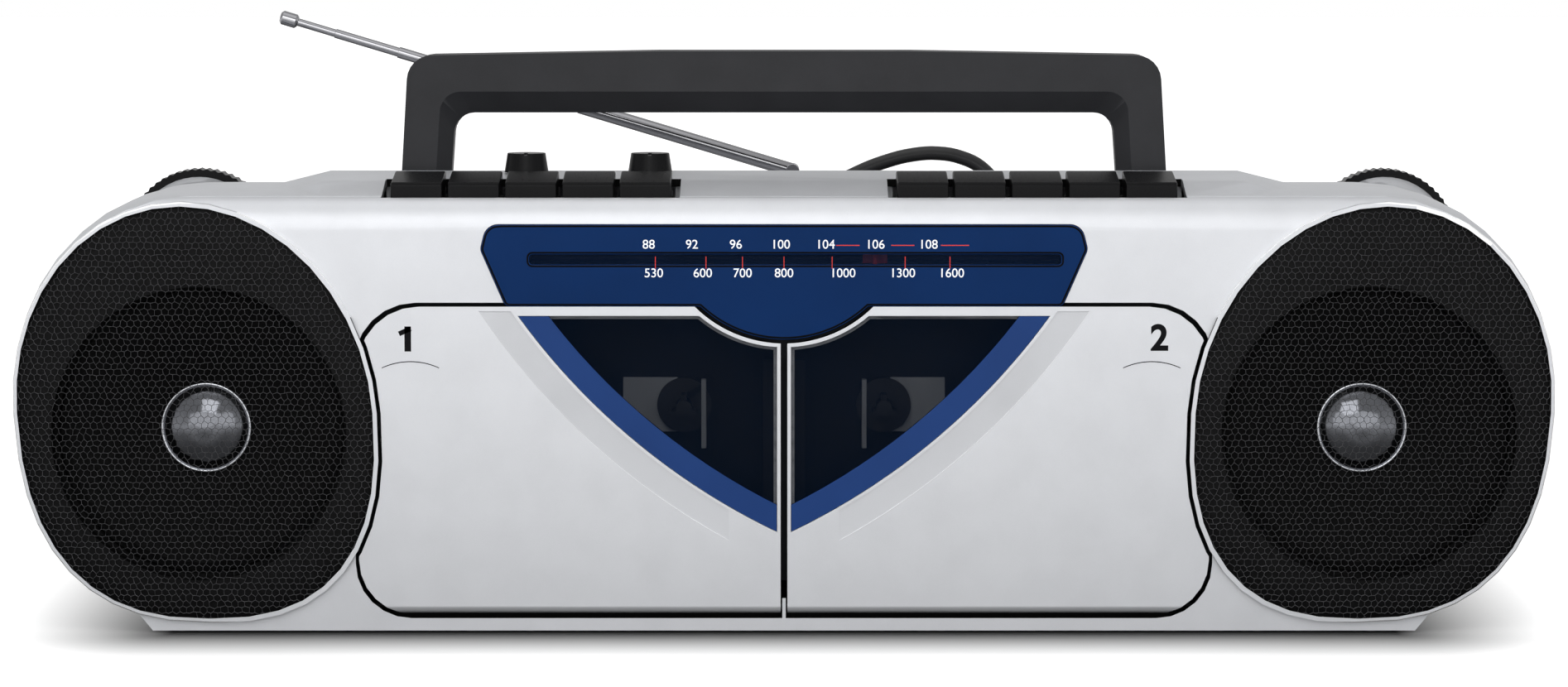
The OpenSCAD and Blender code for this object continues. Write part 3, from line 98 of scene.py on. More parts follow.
def pick(obj, kind, test):
    """Goes into edit mode with only the vertices, edges or polygons selected that pass the test."""
    alone(obj)
    bpy.ops.object.mode_set(mode="EDIT")
    bpy.ops.mesh.select_mode(type={"vertices": "VERT", "edges": "EDGE", "polygons": "FACE"}[kind])
    bpy.ops.mesh.select_all(action="DESELECT")
    bpy.ops.object.mode_set(mode="OBJECT")
    for part in getattr(obj.data, kind):
        part.select = test(part)
    bpy.ops.object.mode_set(mode="EDIT")


def edit_all(obj, operator, **settings):
    """Runs an edit-mode operator on the whole mesh."""
    alone(obj)
    bpy.ops.object.mode_set(mode="EDIT")
    bpy.ops.mesh.select_all(action="SELECT")
    operator(**settings)
    bpy.ops.object.mode_set(mode="OBJECT")


def merge(obj, distance=0.01 * MM):
    """Joins the vertices that lie at one place."""
    edit_all(obj, bpy.ops.mesh.remove_doubles, threshold=distance)


def outwards(obj):
    """Turns the faces of a closed or open shell the same way, outwards."""
    edit_all(obj, bpy.ops.mesh.normals_make_consistent, inside=False)


def modify(obj, kind, **settings):
    """Adds a modifier and applies it."""
    alone(obj)
    modifier = obj.modifiers.new(kind.title(), kind)
    for key, value in settings.items():
        setattr(modifier, key, value)
    bpy.ops.object.modifier_apply(modifier=modifier.name)


def settle(obj):
    """Puts the object's place, turn and scale into its mesh."""
    alone(obj)
    bpy.ops.object.transform_apply(location=True, rotation=True, scale=True)


def smooth(obj, angle=35):
    """Shades curves smooth, and keeps the flat faces beside a rounded edge flat."""
    alone(obj)
    bpy.ops.object.shade_smooth_by_angle(angle=math.radians(angle))
    modify(obj, "WEIGHTED_NORMAL", mode="FACE_AREA", weight=50, keep_sharp=True)


def rename(obj, name):
    """Names an object and its mesh alike."""
    obj.name = name
    obj.data.name = name
    return obj


def paint(obj, *coats):
    """Gives a piece its finishes by name; a face without an index of its own takes the first."""
    obj.data.materials.clear()
    for coat in coats:
        obj.data.materials.append(finishes()[coat])


def fit(obj, body, slot, *nodes):
    """Puts a finished piece on its body, and hides the solids that it stands for; the slot is not used."""
    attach(obj, body)
    if nodes:
        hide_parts(*nodes)
    return obj


def join(parts, name):
    """Makes one piece of several."""
    alone(parts[0])
    for part in parts[1:]:
        part.select_set(True)
    bpy.ops.object.join()
    return rename(bpy.context.view_layer.objects.active, name)


def solid_copy(node, name):
    """A merged copy of a solid's mesh, free of the import's normals, to work on."""
    obj = bpy.data.objects.new(name, NODES[node].data.copy())
    bpy.context.scene.collection.objects.link(obj)
    merge(obj)
    bpy.ops.mesh.customdata_custom_splitnormals_clear()
    return rename(obj, name)


FLAT_ANGLE, SHARP_ANGLE = math.radians(0.6), math.radians(38)


def soften(obj, width):
    """Clears the triangles off flat faces and rounds the sharp edges."""
    edit_all(obj, bpy.ops.mesh.dissolve_limited, angle_limit=FLAT_ANGLE, use_dissolve_boundaries=False)
    modify(obj, "BEVEL", width=width, segments=2, limit_method="ANGLE", angle_limit=SHARP_ANGLE,
           use_clamp_overlap=True, harden_normals=False)
    merge(obj, 0.002 * MM)


def moulded(node, name, slot, *coats, edge=0.0, angle=35):
    """A moulded piece: the solid's own shape with rounded edges and smooth curves."""
    obj = solid_copy(node, name)
    if edge:
        soften(obj, edge)
    smooth(obj, angle)
    paint(obj, *coats)
    return fit(obj, BODY_OF[node], slot, node)


# Finishes

FINISHES = {}
NOISE_MIDDLE = 0.3, 0.7  # where most of a noise's values lie
GLOSS_LOW, GLOSS_HIGH = 0.85, 1.15  # shares of a finish's roughness
GRAIN_STRENGTH = 0.35


def node_of(tree, kind, x, y, **sockets):
    """A shader node at a place, with its input sockets set."""
    node = tree.nodes.new(kind)
    node.location = (x, y)
    for name, value in sockets.items():
        node.inputs[name.replace("_", " ")].default_value = value
    return node


def bare_finish(name):
    """A material with its surface shader, output and object coordinates."""
    finish = bpy.data.materials.new(name)
    finish.use_nodes = True
    tree = finish.node_tree
    tree.nodes.clear()
    output = node_of(tree, "ShaderNodeOutputMaterial", 600, 0)
    surface = node_of(tree, "ShaderNodeBsdfPrincipled", 300, 0)
    place = node_of(tree, "ShaderNodeTexCoord", -900, 0)
    tree.links.new(surface.outputs["BSDF"], output.inputs["Surface"])
    return finish, tree, surface, place.outputs["Object"]


def noise_of(tree, place, x, y, scale, detail=3.0, stretch=None):
    """Noise on object coordinates, stretched along an axis where the finish is drawn or brushed."""
    source = place
    if stretch:
        mapping = node_of(tree, "ShaderNodeMapping", x - 200, y, Scale=stretch)
        tree.links.new(place, mapping.inputs["Vector"])
        source = mapping.outputs["Vector"]
    noise = node_of(tree, "ShaderNodeTexNoise", x, y, Scale=scale, Detail=detail)
    tree.links.new(source, noise.inputs["Vector"])
    return noise.outputs["Fac"]


def ramp_of(tree, value, x, y, start, end, low, high):
    """A straight ramp of a value, held at both ends."""
    span = node_of(tree, "ShaderNodeMapRange", x, y)
    for name, number in (("From Min", start), ("From Max", end), ("To Min", low), ("To Max", high)):
        span.inputs[name].default_value = number
    tree.links.new(value, span.inputs["Value"])
    return span.outputs["Result"]


def faded(tree, place, upper, low, high, lower):
    """A colour that turns into another one downwards, between two heights."""
    parts = node_of(tree, "ShaderNodeSeparateXYZ", -600, 600)
    tree.links.new(place, parts.inputs[0])
    rise = ramp_of(tree, parts.outputs["Z"], -400, 600, low, high, 0.0, 1.0)
    mix = node_of(tree, "ShaderNodeMixRGB", 100, 500, Color1=(*lower, 1))
    tree.links.new(rise, mix.inputs["Fac"])
    tree.links.new(upper, mix.inputs["Color2"])
    return mix.outputs["Color"]


def finish_of(name, colour, roughness, vary=0.06, metallic=0.0, mottle=70.0, grain=1800.0, relief=0.02,
              stretch=None, fade=None, specular=0.5, alpha=1.0):
    """A moulded, painted or drawn finish: mottled colour, uneven gloss and a fine grain."""
    finish, tree, surface, place = bare_finish(name)
    cloud = noise_of(tree, place, -600, 300, mottle, stretch=stretch)
    fine = noise_of(tree, place, -600, -200, grain, detail=2.0, stretch=stretch)
    ramp = node_of(tree, "ShaderNodeValToRGB", -150, 300)
    for stop, position, share in zip(ramp.color_ramp.elements, NOISE_MIDDLE, (1 - vary, 1 + vary)):
        stop.position = position
        stop.color = (*[min(1, c * share) for c in colour], 1)
    tree.links.new(cloud, ramp.inputs["Fac"])
    tone = ramp.outputs["Color"]
    tree.links.new(faded(tree, place, tone, *fade) if fade else tone, surface.inputs["Base Color"])
    gloss = ramp_of(tree, fine, -150, 0, *NOISE_MIDDLE, roughness * GLOSS_LOW, roughness * GLOSS_HIGH)
    tree.links.new(gloss, surface.inputs["Roughness"])
    bump = node_of(tree, "ShaderNodeBump", 0, -250, Strength=GRAIN_STRENGTH, Distance=relief * MM)
    tree.links.new(fine, bump.inputs["Height"])
    tree.links.new(bump.outputs["Normal"], surface.inputs["Normal"])
    for socket, value in (("Metallic", metallic), ("Specular IOR Level", specular), ("Alpha", alpha)):
        surface.inputs[socket].default_value = value
    return finish


def finishes():
    """All the finishes by name, made once."""
    if FINISHES:
        return FINISHES
    look = bpy.context.scene.boombox_colours
    painted = dict(metallic=0.72, vary=0.025, grain=3500.0, relief=0.01)
    lined = dict(vary=0.3, mottle=500.0, grain=1200.0, relief=0.1, specular=0.06)
    rows = (  # name, colour, roughness, and what differs from the usual
        ("silver_paint", look.silver, 0.48, painted),
        # painted shade: the silver darkened beside the windows, fading back to plain silver downwards
        ("silver_facet", [c * 0.84 for c in look.silver], 0.48, dict(painted, fade=(28 * MM, 75 * MM, look.silver))),
        # painted highlight: near-white lines on the grilles' rims and along the doors' ridges and window arcs
        ("silver_edge", (0.95, 0.95, 0.96), 0.3, dict(vary=0.01)),
        ("mesh_black", look.mesh, 0.3, dict(metallic=0.35, vary=0.25, mottle=400.0, specular=0.35)),
        # black, which also serves as painted shade behind the grilles, round the keys, on the openings' walls and on
        # the doors' upper edges; also the dial's border and the hinge rod
        ("band_black", [c * 0.016 for c in look.mesh], 0.6, lined),
        ("band_charcoal", [c * 0.06 for c in look.mesh], 0.5, lined),
        ("cone_paper", (0.0015, 0.0015, 0.0016), 0.8,
         dict(vary=0.3, mottle=350.0, grain=900.0, relief=0.1, specular=0.1)),
        ("cap_silver", (0.165, 0.17, 0.186), 0.12, dict(metallic=1.0, vary=0.05, mottle=250.0)),
        ("cap_ring", (0.5, 0.51, 0.54), 0.2, dict(metallic=1.0, vary=0.05, mottle=250.0)),
        ("handle_charcoal", look.charcoal, 0.5, dict(vary=0.1, grain=2200.0, relief=0.04, specular=0.2)),
        ("key_black", look.key, 0.3, dict(vary=0.1, grain=2600.0, relief=0.015, specular=0.08)),
        ("rubber_black", (0.02, 0.02, 0.021), 0.7, dict(vary=0.15, grain=900.0, relief=0.06)),
        ("lead_black", (0.014, 0.014, 0.015), 0.38, dict(vary=0.12, grain=1500.0, relief=0.02)),
        ("chrome", (0.32, 0.32, 0.335), 0.14, dict(metallic=1.0, vary=0.04, mottle=120.0, grain=2500.0, relief=0.004)),
        ("steel", (0.5, 0.5, 0.52), 0.34, dict(metallic=0.9, vary=0.07, stretch=(1.0, 1.0, 0.08))),
        ("dark_steel", (0.09, 0.092, 0.1), 0.45, dict(metallic=0.6, vary=0.12, mottle=150.0)),
        ("lens_blue", look.lens, 0.16, dict(vary=0.06, mottle=40.0, relief=0.002, specular=0.05)),
        ("band_blue", look.band, 0.22, dict(vary=0.06, mottle=40.0, relief=0.002, specular=0.08)),
        ("plate_navy", (0.008, 0.016, 0.05), 0.5, dict(vary=0.15)),
        ("pointer_red", look.pointer, 0.35, dict(vary=0.05)),
        ("print_white", (0.9, 0.92, 0.95), 0.45, dict(vary=0.02)),
        ("print_black", (0.006, 0.006, 0.007), 0.5, dict(vary=0.1, specular=0.05)),
        ("holder_grey", (0.025, 0.026, 0.03), 0.5, dict(vary=0.1)),
        ("chassis_grey", (0.012, 0.015, 0.021), 0.5, dict(metallic=0.3, vary=0.08, stretch=(0.1, 1.0, 1.0))),
        ("plate_grey", (0.56, 0.58, 0.62), 0.45, dict(vary=0.06)),
        ("spindle_dark", (0.03, 0.031, 0.034), 0.4, dict(vary=0.1)),
        ("board_green", (0.02, 0.11, 0.04), 0.45, dict(vary=0.25, mottle=220.0)),
        ("brass", (0.75, 0.55, 0.22), 0.3, dict(metallic=1.0, vary=0.08)),
    )
    for name, colour, roughness, more in rows:
        FINISHES[name] = finish_of(name, colour, roughness, **more)
    for name, colour, alpha in (("pane_navy", look.pane, 0.45), ("slot_clear", (0.004, 0.01, 0.028), 0.45)):
        FINISHES[name] = finish_of(name, colour, 0.12, vary=0.1, relief=0.0, alpha=alpha, specular=0.02)
    return FINISHES


# Settings that a user would change

class BoomboxColours(bpy.types.PropertyGroup):
    """Colours of the finishes"""
    silver: bpy.props.FloatVectorProperty(
        name="Silver", description="Painted cabinet and doors", subtype="COLOR", default=(0.62, 0.63, 0.655))
    mesh: bpy.props.FloatVectorProperty(
        name="Mesh", description="Grille wire and its band", subtype="COLOR", default=(0.085, 0.085, 0.09))
    charcoal: bpy.props.FloatVectorProperty(
        name="Charcoal", description="Carrying handle", subtype="COLOR", default=(0.019, 0.0195, 0.022))
    key: bpy.props.FloatVectorProperty(
        name="Keys", description="Keys, knobs and wheels", subtype="COLOR", default=(0.005, 0.005, 0.0055))
    lens: bpy.props.FloatVectorProperty(
        name="Dial", description="Dial lens", subtype="COLOR", default=(0.003, 0.022, 0.092))
    band: bpy.props.FloatVectorProperty(
        name="Window band", description="Printed band of the cassette windows", subtype="COLOR",
        default=(0.015, 0.046, 0.17))
    pane: bpy.props.FloatVectorProperty(
        name="Window", description="Smoked panes of the cassette windows", subtype="COLOR",
        default=(0.0012, 0.0045, 0.0125))
    pointer: bpy.props.FloatVectorProperty(
        name="Pointer", description="Dial pointer and marks", subtype="COLOR", default=(0.6, 0.02, 0.012))


class BoomboxSizes(bpy.types.PropertyGroup):
    """Sizes of the fine pieces"""
    edge: bpy.props.FloatProperty(
        name="Moulded edge", description="Rounding of the silver mouldings' edges", unit="LENGTH",
        default=0.35 * MM)
    door_edge: bpy.props.FloatProperty(
        name="Door edge", description="Rounding of the cassette doors' edges", unit="LENGTH", default=0.8 * MM)
    handle_edge: bpy.props.FloatProperty(
        name="Handle edge", description="Rounding of the handle's edges", unit="LENGTH", default=1.3 * MM)
    key_edge: bpy.props.FloatProperty(
        name="Key edge", description="Rounding of the keys' edges", unit="LENGTH", default=0.9 * MM)
    cell: bpy.props.FloatProperty(
        name="Grille cell", description="Width of one cell of the grille's mesh", unit="LENGTH", default=2.25 * MM)
    wire: bpy.props.FloatProperty(
        name="Grille wire", description="Thickness of the grille's wire", unit="LENGTH", default=0.19 * MM)
    lens_border: bpy.props.FloatProperty(
        name="Lens border", description="Width of the black line round the dial", unit="LENGTH", default=0.6 * MM)
    band_width: bpy.props.FloatProperty(
        name="Window band", description="Width of the printed band of a window", unit="LENGTH", default=8 * MM)
    numeral: bpy.props.FloatProperty(
        name="Dial numeral", description="Height of the dial's numbers", unit="LENGTH", default=2.9 * MM)
    deck_digit: bpy.props.FloatProperty(
        name="Deck number", description="Height of the decks' numbers", unit="LENGTH", default=8.2 * MM)
    proud: bpy.props.FloatProperty(
        name="Print", description="Thickness of printed marks", unit="LENGTH", default=0.04 * MM)


def sizes():
    """The sizes set in the panel."""
    return bpy.context.scene.boombox_sizes


# Camera, in front of the grilles' crown and above the handle's height

CAMERA_OFF = 1500 * MM
CAMERA_UP = 233.5 * MM
CAMERA_PITCH = 5.27
CAMERA_LENS = 106.8


class BOOMBOX_OT_camera(bpy.types.Operator):
    """Stands the camera at the photograph's viewing angle"""
    bl_idname = "boombox.camera"
    bl_label = "Camera"

    def execute(self, context):
        bpy.ops.object.camera_add(
            location=(0, CAD_LOW.y - CAMERA_OFF, CAMERA_UP), rotation=(math.radians(90 - CAMERA_PITCH), 0, 0))
        camera = context.object
        camera.name = "camera"
        camera.data.sensor_width = 36
        camera.data.lens = CAMERA_LENS
        context.scene.camera = camera
        return {"FINISHED"}


# Mains lead: out of its relief, over the back edge, down to the floor and into a coil

LEAD_D = 5 * MM
LEAD_ROUTE = (  # the route and the coil are in millimetres
    (77, 81, 127), (77, 81, 132), (75, 81, 138), (70, 81.5, 144), (63, 82, 147.5), (55, 82, 149),
    (46, 82.5, 148.5), (36, 83, 146), (26, 83.5, 142), (17, 84, 137), (8, 85, 130), (0, 86, 121),
    (-7, 87, 110), (-12, 88, 98), (-16, 89, 84), (-18, 90, 70), (-18, 91, 56), (-17, 92, 42),
    (-15, 93, 30), (-11, 94, 19), (-5, 95, 10.5), (3, 95, 5.2), (12, 94, 3), (23, 91.5, 2.6),
    (35, 88, 2.6), (48, 85, 2.6), (62, 83.6, 2.6), (75, 83.4, 2.6), (85, 83.4, 2.6))
COIL_MIDDLE = (90, 120.8)
COIL_OUT = 37.4
COIL_STEP = 5.6
COIL_TURNS = 7.5
COIL_POINTS = 24
COIL_LOW = 2.6
CLIMB_TURNS = 0.5
BLADE_LENGTH = 18 * MM


def coil_point(turn):
    """Inwards on the floor for half the turns, then up a layer and outwards."""
    half = COIL_TURNS / 2
    radius = COIL_OUT - COIL_STEP * (half - abs(turn - half))
    angle = math.radians(360 * turn - 90)
    climb = min(1, max(0, (turn - half + CLIMB_TURNS / 2) / CLIMB_TURNS))
    return (COIL_MIDDLE[0] + radius * math.cos(angle), COIL_MIDDLE[1] + radius * math.sin(angle),
            COIL_LOW + COIL_STEP * climb)


class BOOMBOX_OT_mains_lead(bpy.types.Operator):
    """Lays the mains lead along its route and into its coil"""
    bl_idname = "boombox.mains_lead"
    bl_label = "Mains lead"

    def execute(self, context):
        steps = int(COIL_TURNS * COIL_POINTS)
        coil = [coil_point(k / COIL_POINTS) for k in range(steps + 1)]
        tail = (coil[-1][0] - LEAD_D / MM, coil[-1][1], coil[-1][2])
        points = [Vector(p) * MM for p in (*LEAD_ROUTE, *coil, tail)]
        line = bpy.data.curves.new("mains_lead", "CURVE")
        line.dimensions = "3D"
        line.bevel_depth = LEAD_D / 2
        line.bevel_resolution = 4
        line.use_fill_caps = True
        line.resolution_u = 4
        spline = line.splines.new("BEZIER")
        spline.bezier_points.add(len(points) - 1)
        for knot, point in zip(spline.bezier_points, points):
            knot.co = point
            knot.handle_left_type = knot.handle_right_type = "AUTO"
        lead = bpy.data.objects.new("mains_lead_cord", line)
        context.scene.collection.objects.link(lead)
        paint(lead, "lead_black")
        fit(lead, BODY_OF["mains_lead"], "black_rubber", "mains_lead", "lead_coil")
        relief = moulded("lead_grommet", "lead_relief", "black_rubber", "lead_black", edge=0.4 * MM)
        plug = moulded("mains_plug", "lead_plug", "black_rubber", "lead_black", "brass", edge=0.5 * MM)
        blade_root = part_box("mains_plug")[0].x + BLADE_LENGTH
        for face in plug.data.polygons:
            face.material_index = int(face.center.x < blade_root)
        return {"FINISHED"}


# Cabinet, with what is screwed and hinged to its back; depths count from the grilles' crown

# Reaches of the front moulding's painted shade behind the grilles, round the keys and in the openings, and of its
# painted highlight on the grilles' rims
SEAT_FRONT, SEAT_BACK = 1.7 * MM, 25 * MM
RIM_INNER, RIM_OUTER, RIM_DEPTH = 0.99, 1.045, 4 * MM
FACE_DEPTH = 3.7 * MM
DOOR_ROOM, FIT_ROOM = 2.6 * MM, 0.7 * MM
DECK_SKIN = 0.5 * MM
CABINET_FLAT = -0.95  # a normal's y, below which a face looks to the front


class BOOMBOX_OT_cabinet(bpy.types.Operator):
    """Paints the two mouldings, the battery door, the feet and the screws"""
    bl_idname = "boombox.cabinet"
    bl_label = "Cabinet"

    def execute(self, context):
        edge = sizes().edge
        front = moulded("front_cabinet", "front_moulding", "silver_plastic", "silver_paint",
                        "band_black", "silver_edge", edge=edge)
        wells = [self.around(f"key_{side}_{number}" for number in range(1, 6)) for side, _ in SIDES]
        openings = [self.around(("door_left", "door_right"), DOOR_ROOM), self.around(("dial_lens",))]
        for face in front.data.polygons:
            middle = face.center
            depth = middle.y - GRILLE_LOW.y
            share = grille_share(abs(middle.x), middle.z)
            seat = share < 1 and SEAT_FRONT < depth < SEAT_BACK
            rim = RIM_INNER < share < RIM_OUTER and depth < RIM_DEPTH
            well = any(all(low[i] < middle[i] < high[i] for i in range(3)) for low, high in wells)
            sunk = face.normal.y > CABINET_FLAT or depth > FACE_DEPTH
            wall = sunk and any(all(low[i] < middle[i] < high[i] for i in (0, 2)) for low, high in openings)
            # painted shade behind the grilles, in the key wells and on the openings' walls; a painted highlight on the
            # grilles' rims
            face.material_index = 1 if seat or well or wall else 2 if rim else 0
        moulded("rear_cabinet", "rear_moulding", "silver_plastic", "silver_paint", edge=edge)
        moulded("battery_door", "battery_cover", "silver_plastic", "silver_paint", edge=edge)
        moulded("rubber_feet", "feet", "black_rubber", "rubber_black", edge=edge)
        moulded("case_screws", "screws", "steel", "steel", edge=0.1 * MM)
        return {"FINISHED"}

    def around(self, nodes, grow=FIT_ROOM):
        """The corners of the opening that holds some pieces."""
        boxes = [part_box(node) for node in nodes]
        low = [min(box[0][i] for box in boxes) - grow for i in range(3)]
        high = [max(box[1][i] for box in boxes) + grow for i in range(3)]
        high[2] = min(high[2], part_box("front_cabinet")[1].z - DECK_SKIN)
        return low, high


# Grilles: a crowned mesh of uneven six-sided cells over a black band with a round opening

GRILLE_W = 115.4 * MM
GRILLE_H = 134.6 * MM
GRILLE_X = 191.3 * MM
GRILLE_Z = 72.2 * MM
GRILLE_LEAN = 0.062
GRILLE_UPPER, GRILLE_LOWER = 2.0, 2.5
CROWN_DROP = 2.2 * MM
CROWN_REACH = 4.0 * MM
CONE_OPEN = 48 * MM
BAND_BEHIND = 0.9 * MM
BAND_INSET = 0.3 * MM
BAND_THICK = 0.15 * MM
BAND_SPOKES, BAND_RINGS = 96, 9
MESH_SHARE = 0.985
MESH_UNEVEN = 0.24


def grille_share(x, z):
    """How far out a point of the right grille lies: 0 in the middle, 1 on the outline."""
    up = z - GRILLE_Z
    across = abs(x - GRILLE_X - GRILLE_LEAN * up) / (GRILLE_W / 2)
    power = GRILLE_UPPER if up > 0 else GRILLE_LOWER
    return (across ** power + (abs(up) / (GRILLE_H / 2)) ** power) ** (1 / power)


def crown_y(x, z):
    """Depth of the crowned sheet: flat in the middle, falling away along the rim."""
    share = max(grille_share(x, z), 0.01)
    reach = math.hypot(x - GRILLE_X, z - GRILLE_Z) * (1 / share - 1) if share < 1 else 0
    return GRILLE_LOW.y + CROWN_DROP * math.exp(-reach / CROWN_REACH)


def outline_point(x, z, inset):
    """Where a ray from a point inside the right grille meets its outline, drawn in a little."""
    low, high = 0.0, 4.0
    for _ in range(30):
        middle = (low + high) / 2
        inside = grille_share(CONE_MID.x + x * middle, CONE_MID.z + z * middle) < 1
        low, high = (middle, high) if inside else (low, middle)
    length = low - inset / math.hypot(x, z)
    return CONE_MID.x + x * length, CONE_MID.z + z * length


def grille_mesh(name):
    """The right grille's wire."""
    cell = sizes().cell
    point = cell / math.sqrt(3)
    columns, rows = int(GRILLE_W / cell) + 6, int(GRILLE_H / (3 * point)) + 2
    start = (GRILLE_X - columns * cell / 2, GRILLE_LOW.y, GRILLE_Z - rows * 1.5 * point)
    bpy.ops.mesh.primitive_circle_add(vertices=6, radius=point, fill_type="NGON", location=start, rotation=FACING)
    mesh = rename(bpy.context.object, name)
    settle(mesh)
    for count, step in ((2, (cell / 2, 0, 1.5 * point)), (columns, (cell, 0, 0)), (rows, (0, 0, 3 * point))):
        modify(mesh, "ARRAY", count=count, use_relative_offset=False, use_constant_offset=True,
               constant_offset_displace=step)
    merge(mesh, 0.05 * MM)
    pick(mesh, "polygons", lambda face: grille_share(face.center.x, face.center.z) > MESH_SHARE)
    bpy.ops.mesh.delete(type="FACE")
    bpy.ops.mesh.select_all(action="SELECT")
    bpy.ops.transform.vertex_random(offset=MESH_UNEVEN * cell, uniform=0.0, normal=0.0, seed=5)
    bpy.ops.object.mode_set(mode="OBJECT")
    for vertex in mesh.data.vertices:
        vertex.co.y = crown_y(vertex.co.x, vertex.co.z)
    modify(mesh, "WIREFRAME", thickness=sizes().wire, use_boundary=True, use_replace=True, use_even_offset=False)
    return mesh


def grille_band(name):
    """The black band behind the right grille's mesh, from its outline to the round opening."""
    bpy.ops.mesh.primitive_circle_add(vertices=BAND_SPOKES, radius=CONE_OPEN, location=CONE_MID, rotation=FACING)
    band = rename(bpy.context.object, name)
    settle(band)
    inner = [vertex.co.copy() for vertex in band.data.vertices]
    bpy.ops.object.mode_set(mode="EDIT")
    bpy.ops.mesh.select_all(action="SELECT")
    for _ in range(BAND_RINGS):
        bpy.ops.mesh.extrude_edges_move()
    bpy.ops.object.mode_set(mode="OBJECT")
    for number, vertex in enumerate(band.data.vertices):
        ring, spoke = divmod(number, BAND_SPOKES)
        near = inner[spoke]
        x, z = outline_point(near.x - CONE_MID.x, near.z - CONE_MID.z, BAND_INSET)
        share = ring / BAND_RINGS
        vertex.co.x = near.x + (x - near.x) * share
        vertex.co.z = near.z + (z - near.z) * share
        vertex.co.y = crown_y(vertex.co.x, vertex.co.z) + BAND_BEHIND
    return band


def mirrored(obj, name):
    """A copy on the other side of the middle, with its own mesh."""
    twin = bpy.data.objects.new(name, obj.data.copy())
    bpy.context.scene.collection.objects.link(twin)
    twin.scale.x = -1
    settle(twin)
    outwards(twin)
    return rename(twin, name)


class BOOMBOX_OT_grilles(bpy.types.Operator):
    """Weaves the two crowned speaker grilles and their bands"""
    bl_idname = "boombox.grilles"
    bl_label = "Speaker grilles"

    def execute(self, context):
        mesh = grille_mesh("grille_mesh_right")
        band = grille_band("grille_band_right")
        for side in ("right", "left"):
            if side == "left":
                mesh, band = mirrored(mesh, "grille_mesh_left"), mirrored(band, "grille_band_left")
            paint(mesh, "mesh_black")
            fit(mesh, BODY_OF[f"grille_{side}"], "grille_black", f"grille_{side}")
            modify(band, "SOLIDIFY", thickness=BAND_THICK, offset=0)
            outwards(band)
            smooth(band, angle=40)
            paint(band, "band_charcoal")
            fit(band, BODY_OF[f"grille_{side}"], "grille_black")
        return {"FINISHED"}


# Loudspeakers; depths count from the cones' front

CAP_R, CAP_DEPTH = 15.2 * MM, 14 * MM
RING_R, RING_WIRE, RING_DEPTH = 14.4 * MM, 0.6 * MM, 13 * MM
BASKET_LIP = 6 * MM


class BOOMBOX_OT_speakers(bpy.types.Operator):
    """Finishes the loudspeakers: paper cones with silver dust caps, in steel frames"""
    bl_idname = "boombox.speakers"
    bl_label = "Loudspeakers"

    def execute(self, context):
        for side, sign in SIDES:
            cone = moulded(f"speaker_cone_{side}", f"paper_cone_{side}", "cone_grey", "cone_paper",
                           "cap_silver", angle=28)
            for face in cone.data.polygons:
                off = math.hypot(face.center.x - sign * CONE_MID.x, face.center.z - CONE_MID.z)
                face.material_index = int(off < CAP_R and face.center.y < CONE_LOW.y + CAP_DEPTH)
            bpy.ops.mesh.primitive_torus_add(
                location=(sign * CONE_MID.x, CONE_LOW.y + RING_DEPTH, CONE_MID.z), rotation=FACING,
                major_radius=RING_R, minor_radius=RING_WIRE, major_segments=72, minor_segments=8)
            ring = rename(context.object, f"cap_ring_{side}")
            settle(ring)
            smooth(ring, angle=60)
            paint(ring, "cap_ring")
            fit(ring, BODY_OF[f"speaker_cone_{side}"], "cone_grey")
        baskets = moulded("speaker_frames", "speaker_baskets", "steel", "dark_steel", "cone_paper", edge=0.3 * MM)
        for face in baskets.data.polygons:
            face.material_index = int(face.center.y < CONE_LOW.y + BASKET_LIP)
        return {"FINISHED"}


# Printed marks and blocks, placed by the photograph's columns and rows at the front of the cabinet

PHOTO_W = 1894
PIXELS_PER_MM = 3.72
FLOOR_ROW = 768.5
DIGIT_SHARE = 0.7  # a digit's height, as a share of its type size


def photo_x(pixel):
    """Distance from the middle for a column of the photograph."""
    return (pixel - PHOTO_W / 2) / PIXELS_PER_MM * MM


def photo_z(pixel):
    """Height for a row of the photograph."""
    return (FLOOR_ROW - pixel) / PIXELS_PER_MM * MM


def numerals(text, height, x, y, z, weight):
    """Flat printed numerals facing the front, as a mesh."""
    bpy.ops.object.text_add(location=(x, y, z), rotation=FACING)
    mark = bpy.context.object
    mark.data.body = text
    mark.data.align_x, mark.data.align_y = "CENTER", "CENTER"
    mark.data.size = height / DIGIT_SHARE
    mark.data.offset = weight
    mark.data.extrude = sizes().proud / 2
    alone(mark)
    bpy.ops.object.convert(target="MESH")
    settle(mark)
    return mark


def block(x0, x1, y0, y1, z0, z1, edge=0.0):
    """A block between two corners, with softened edges where asked."""
    bpy.ops.mesh.primitive_cube_add(size=1, location=((x0 + x1) / 2, (y0 + y1) / 2, (z0 + z1) / 2))
    obj = bpy.context.object
    obj.scale = (abs(x1 - x0), y1 - y0, z1 - z0)
    settle(obj)
    if edge:
        modify(obj, "BEVEL", width=edge, segments=2, affect="EDGES", limit_method="NONE")
    return obj


def bar(x0, x1, z0, z1, y):
    """A printed bar facing the front, its corners cut a little."""
    half = sizes().proud / 2
    return block(x0, x1, y - half, y + half, z0, z1, edge=0.2 * min(x1 - x0, z1 - z0))


# Dial: a blue lens with a slot for the pointer, and two rows of plain numbers

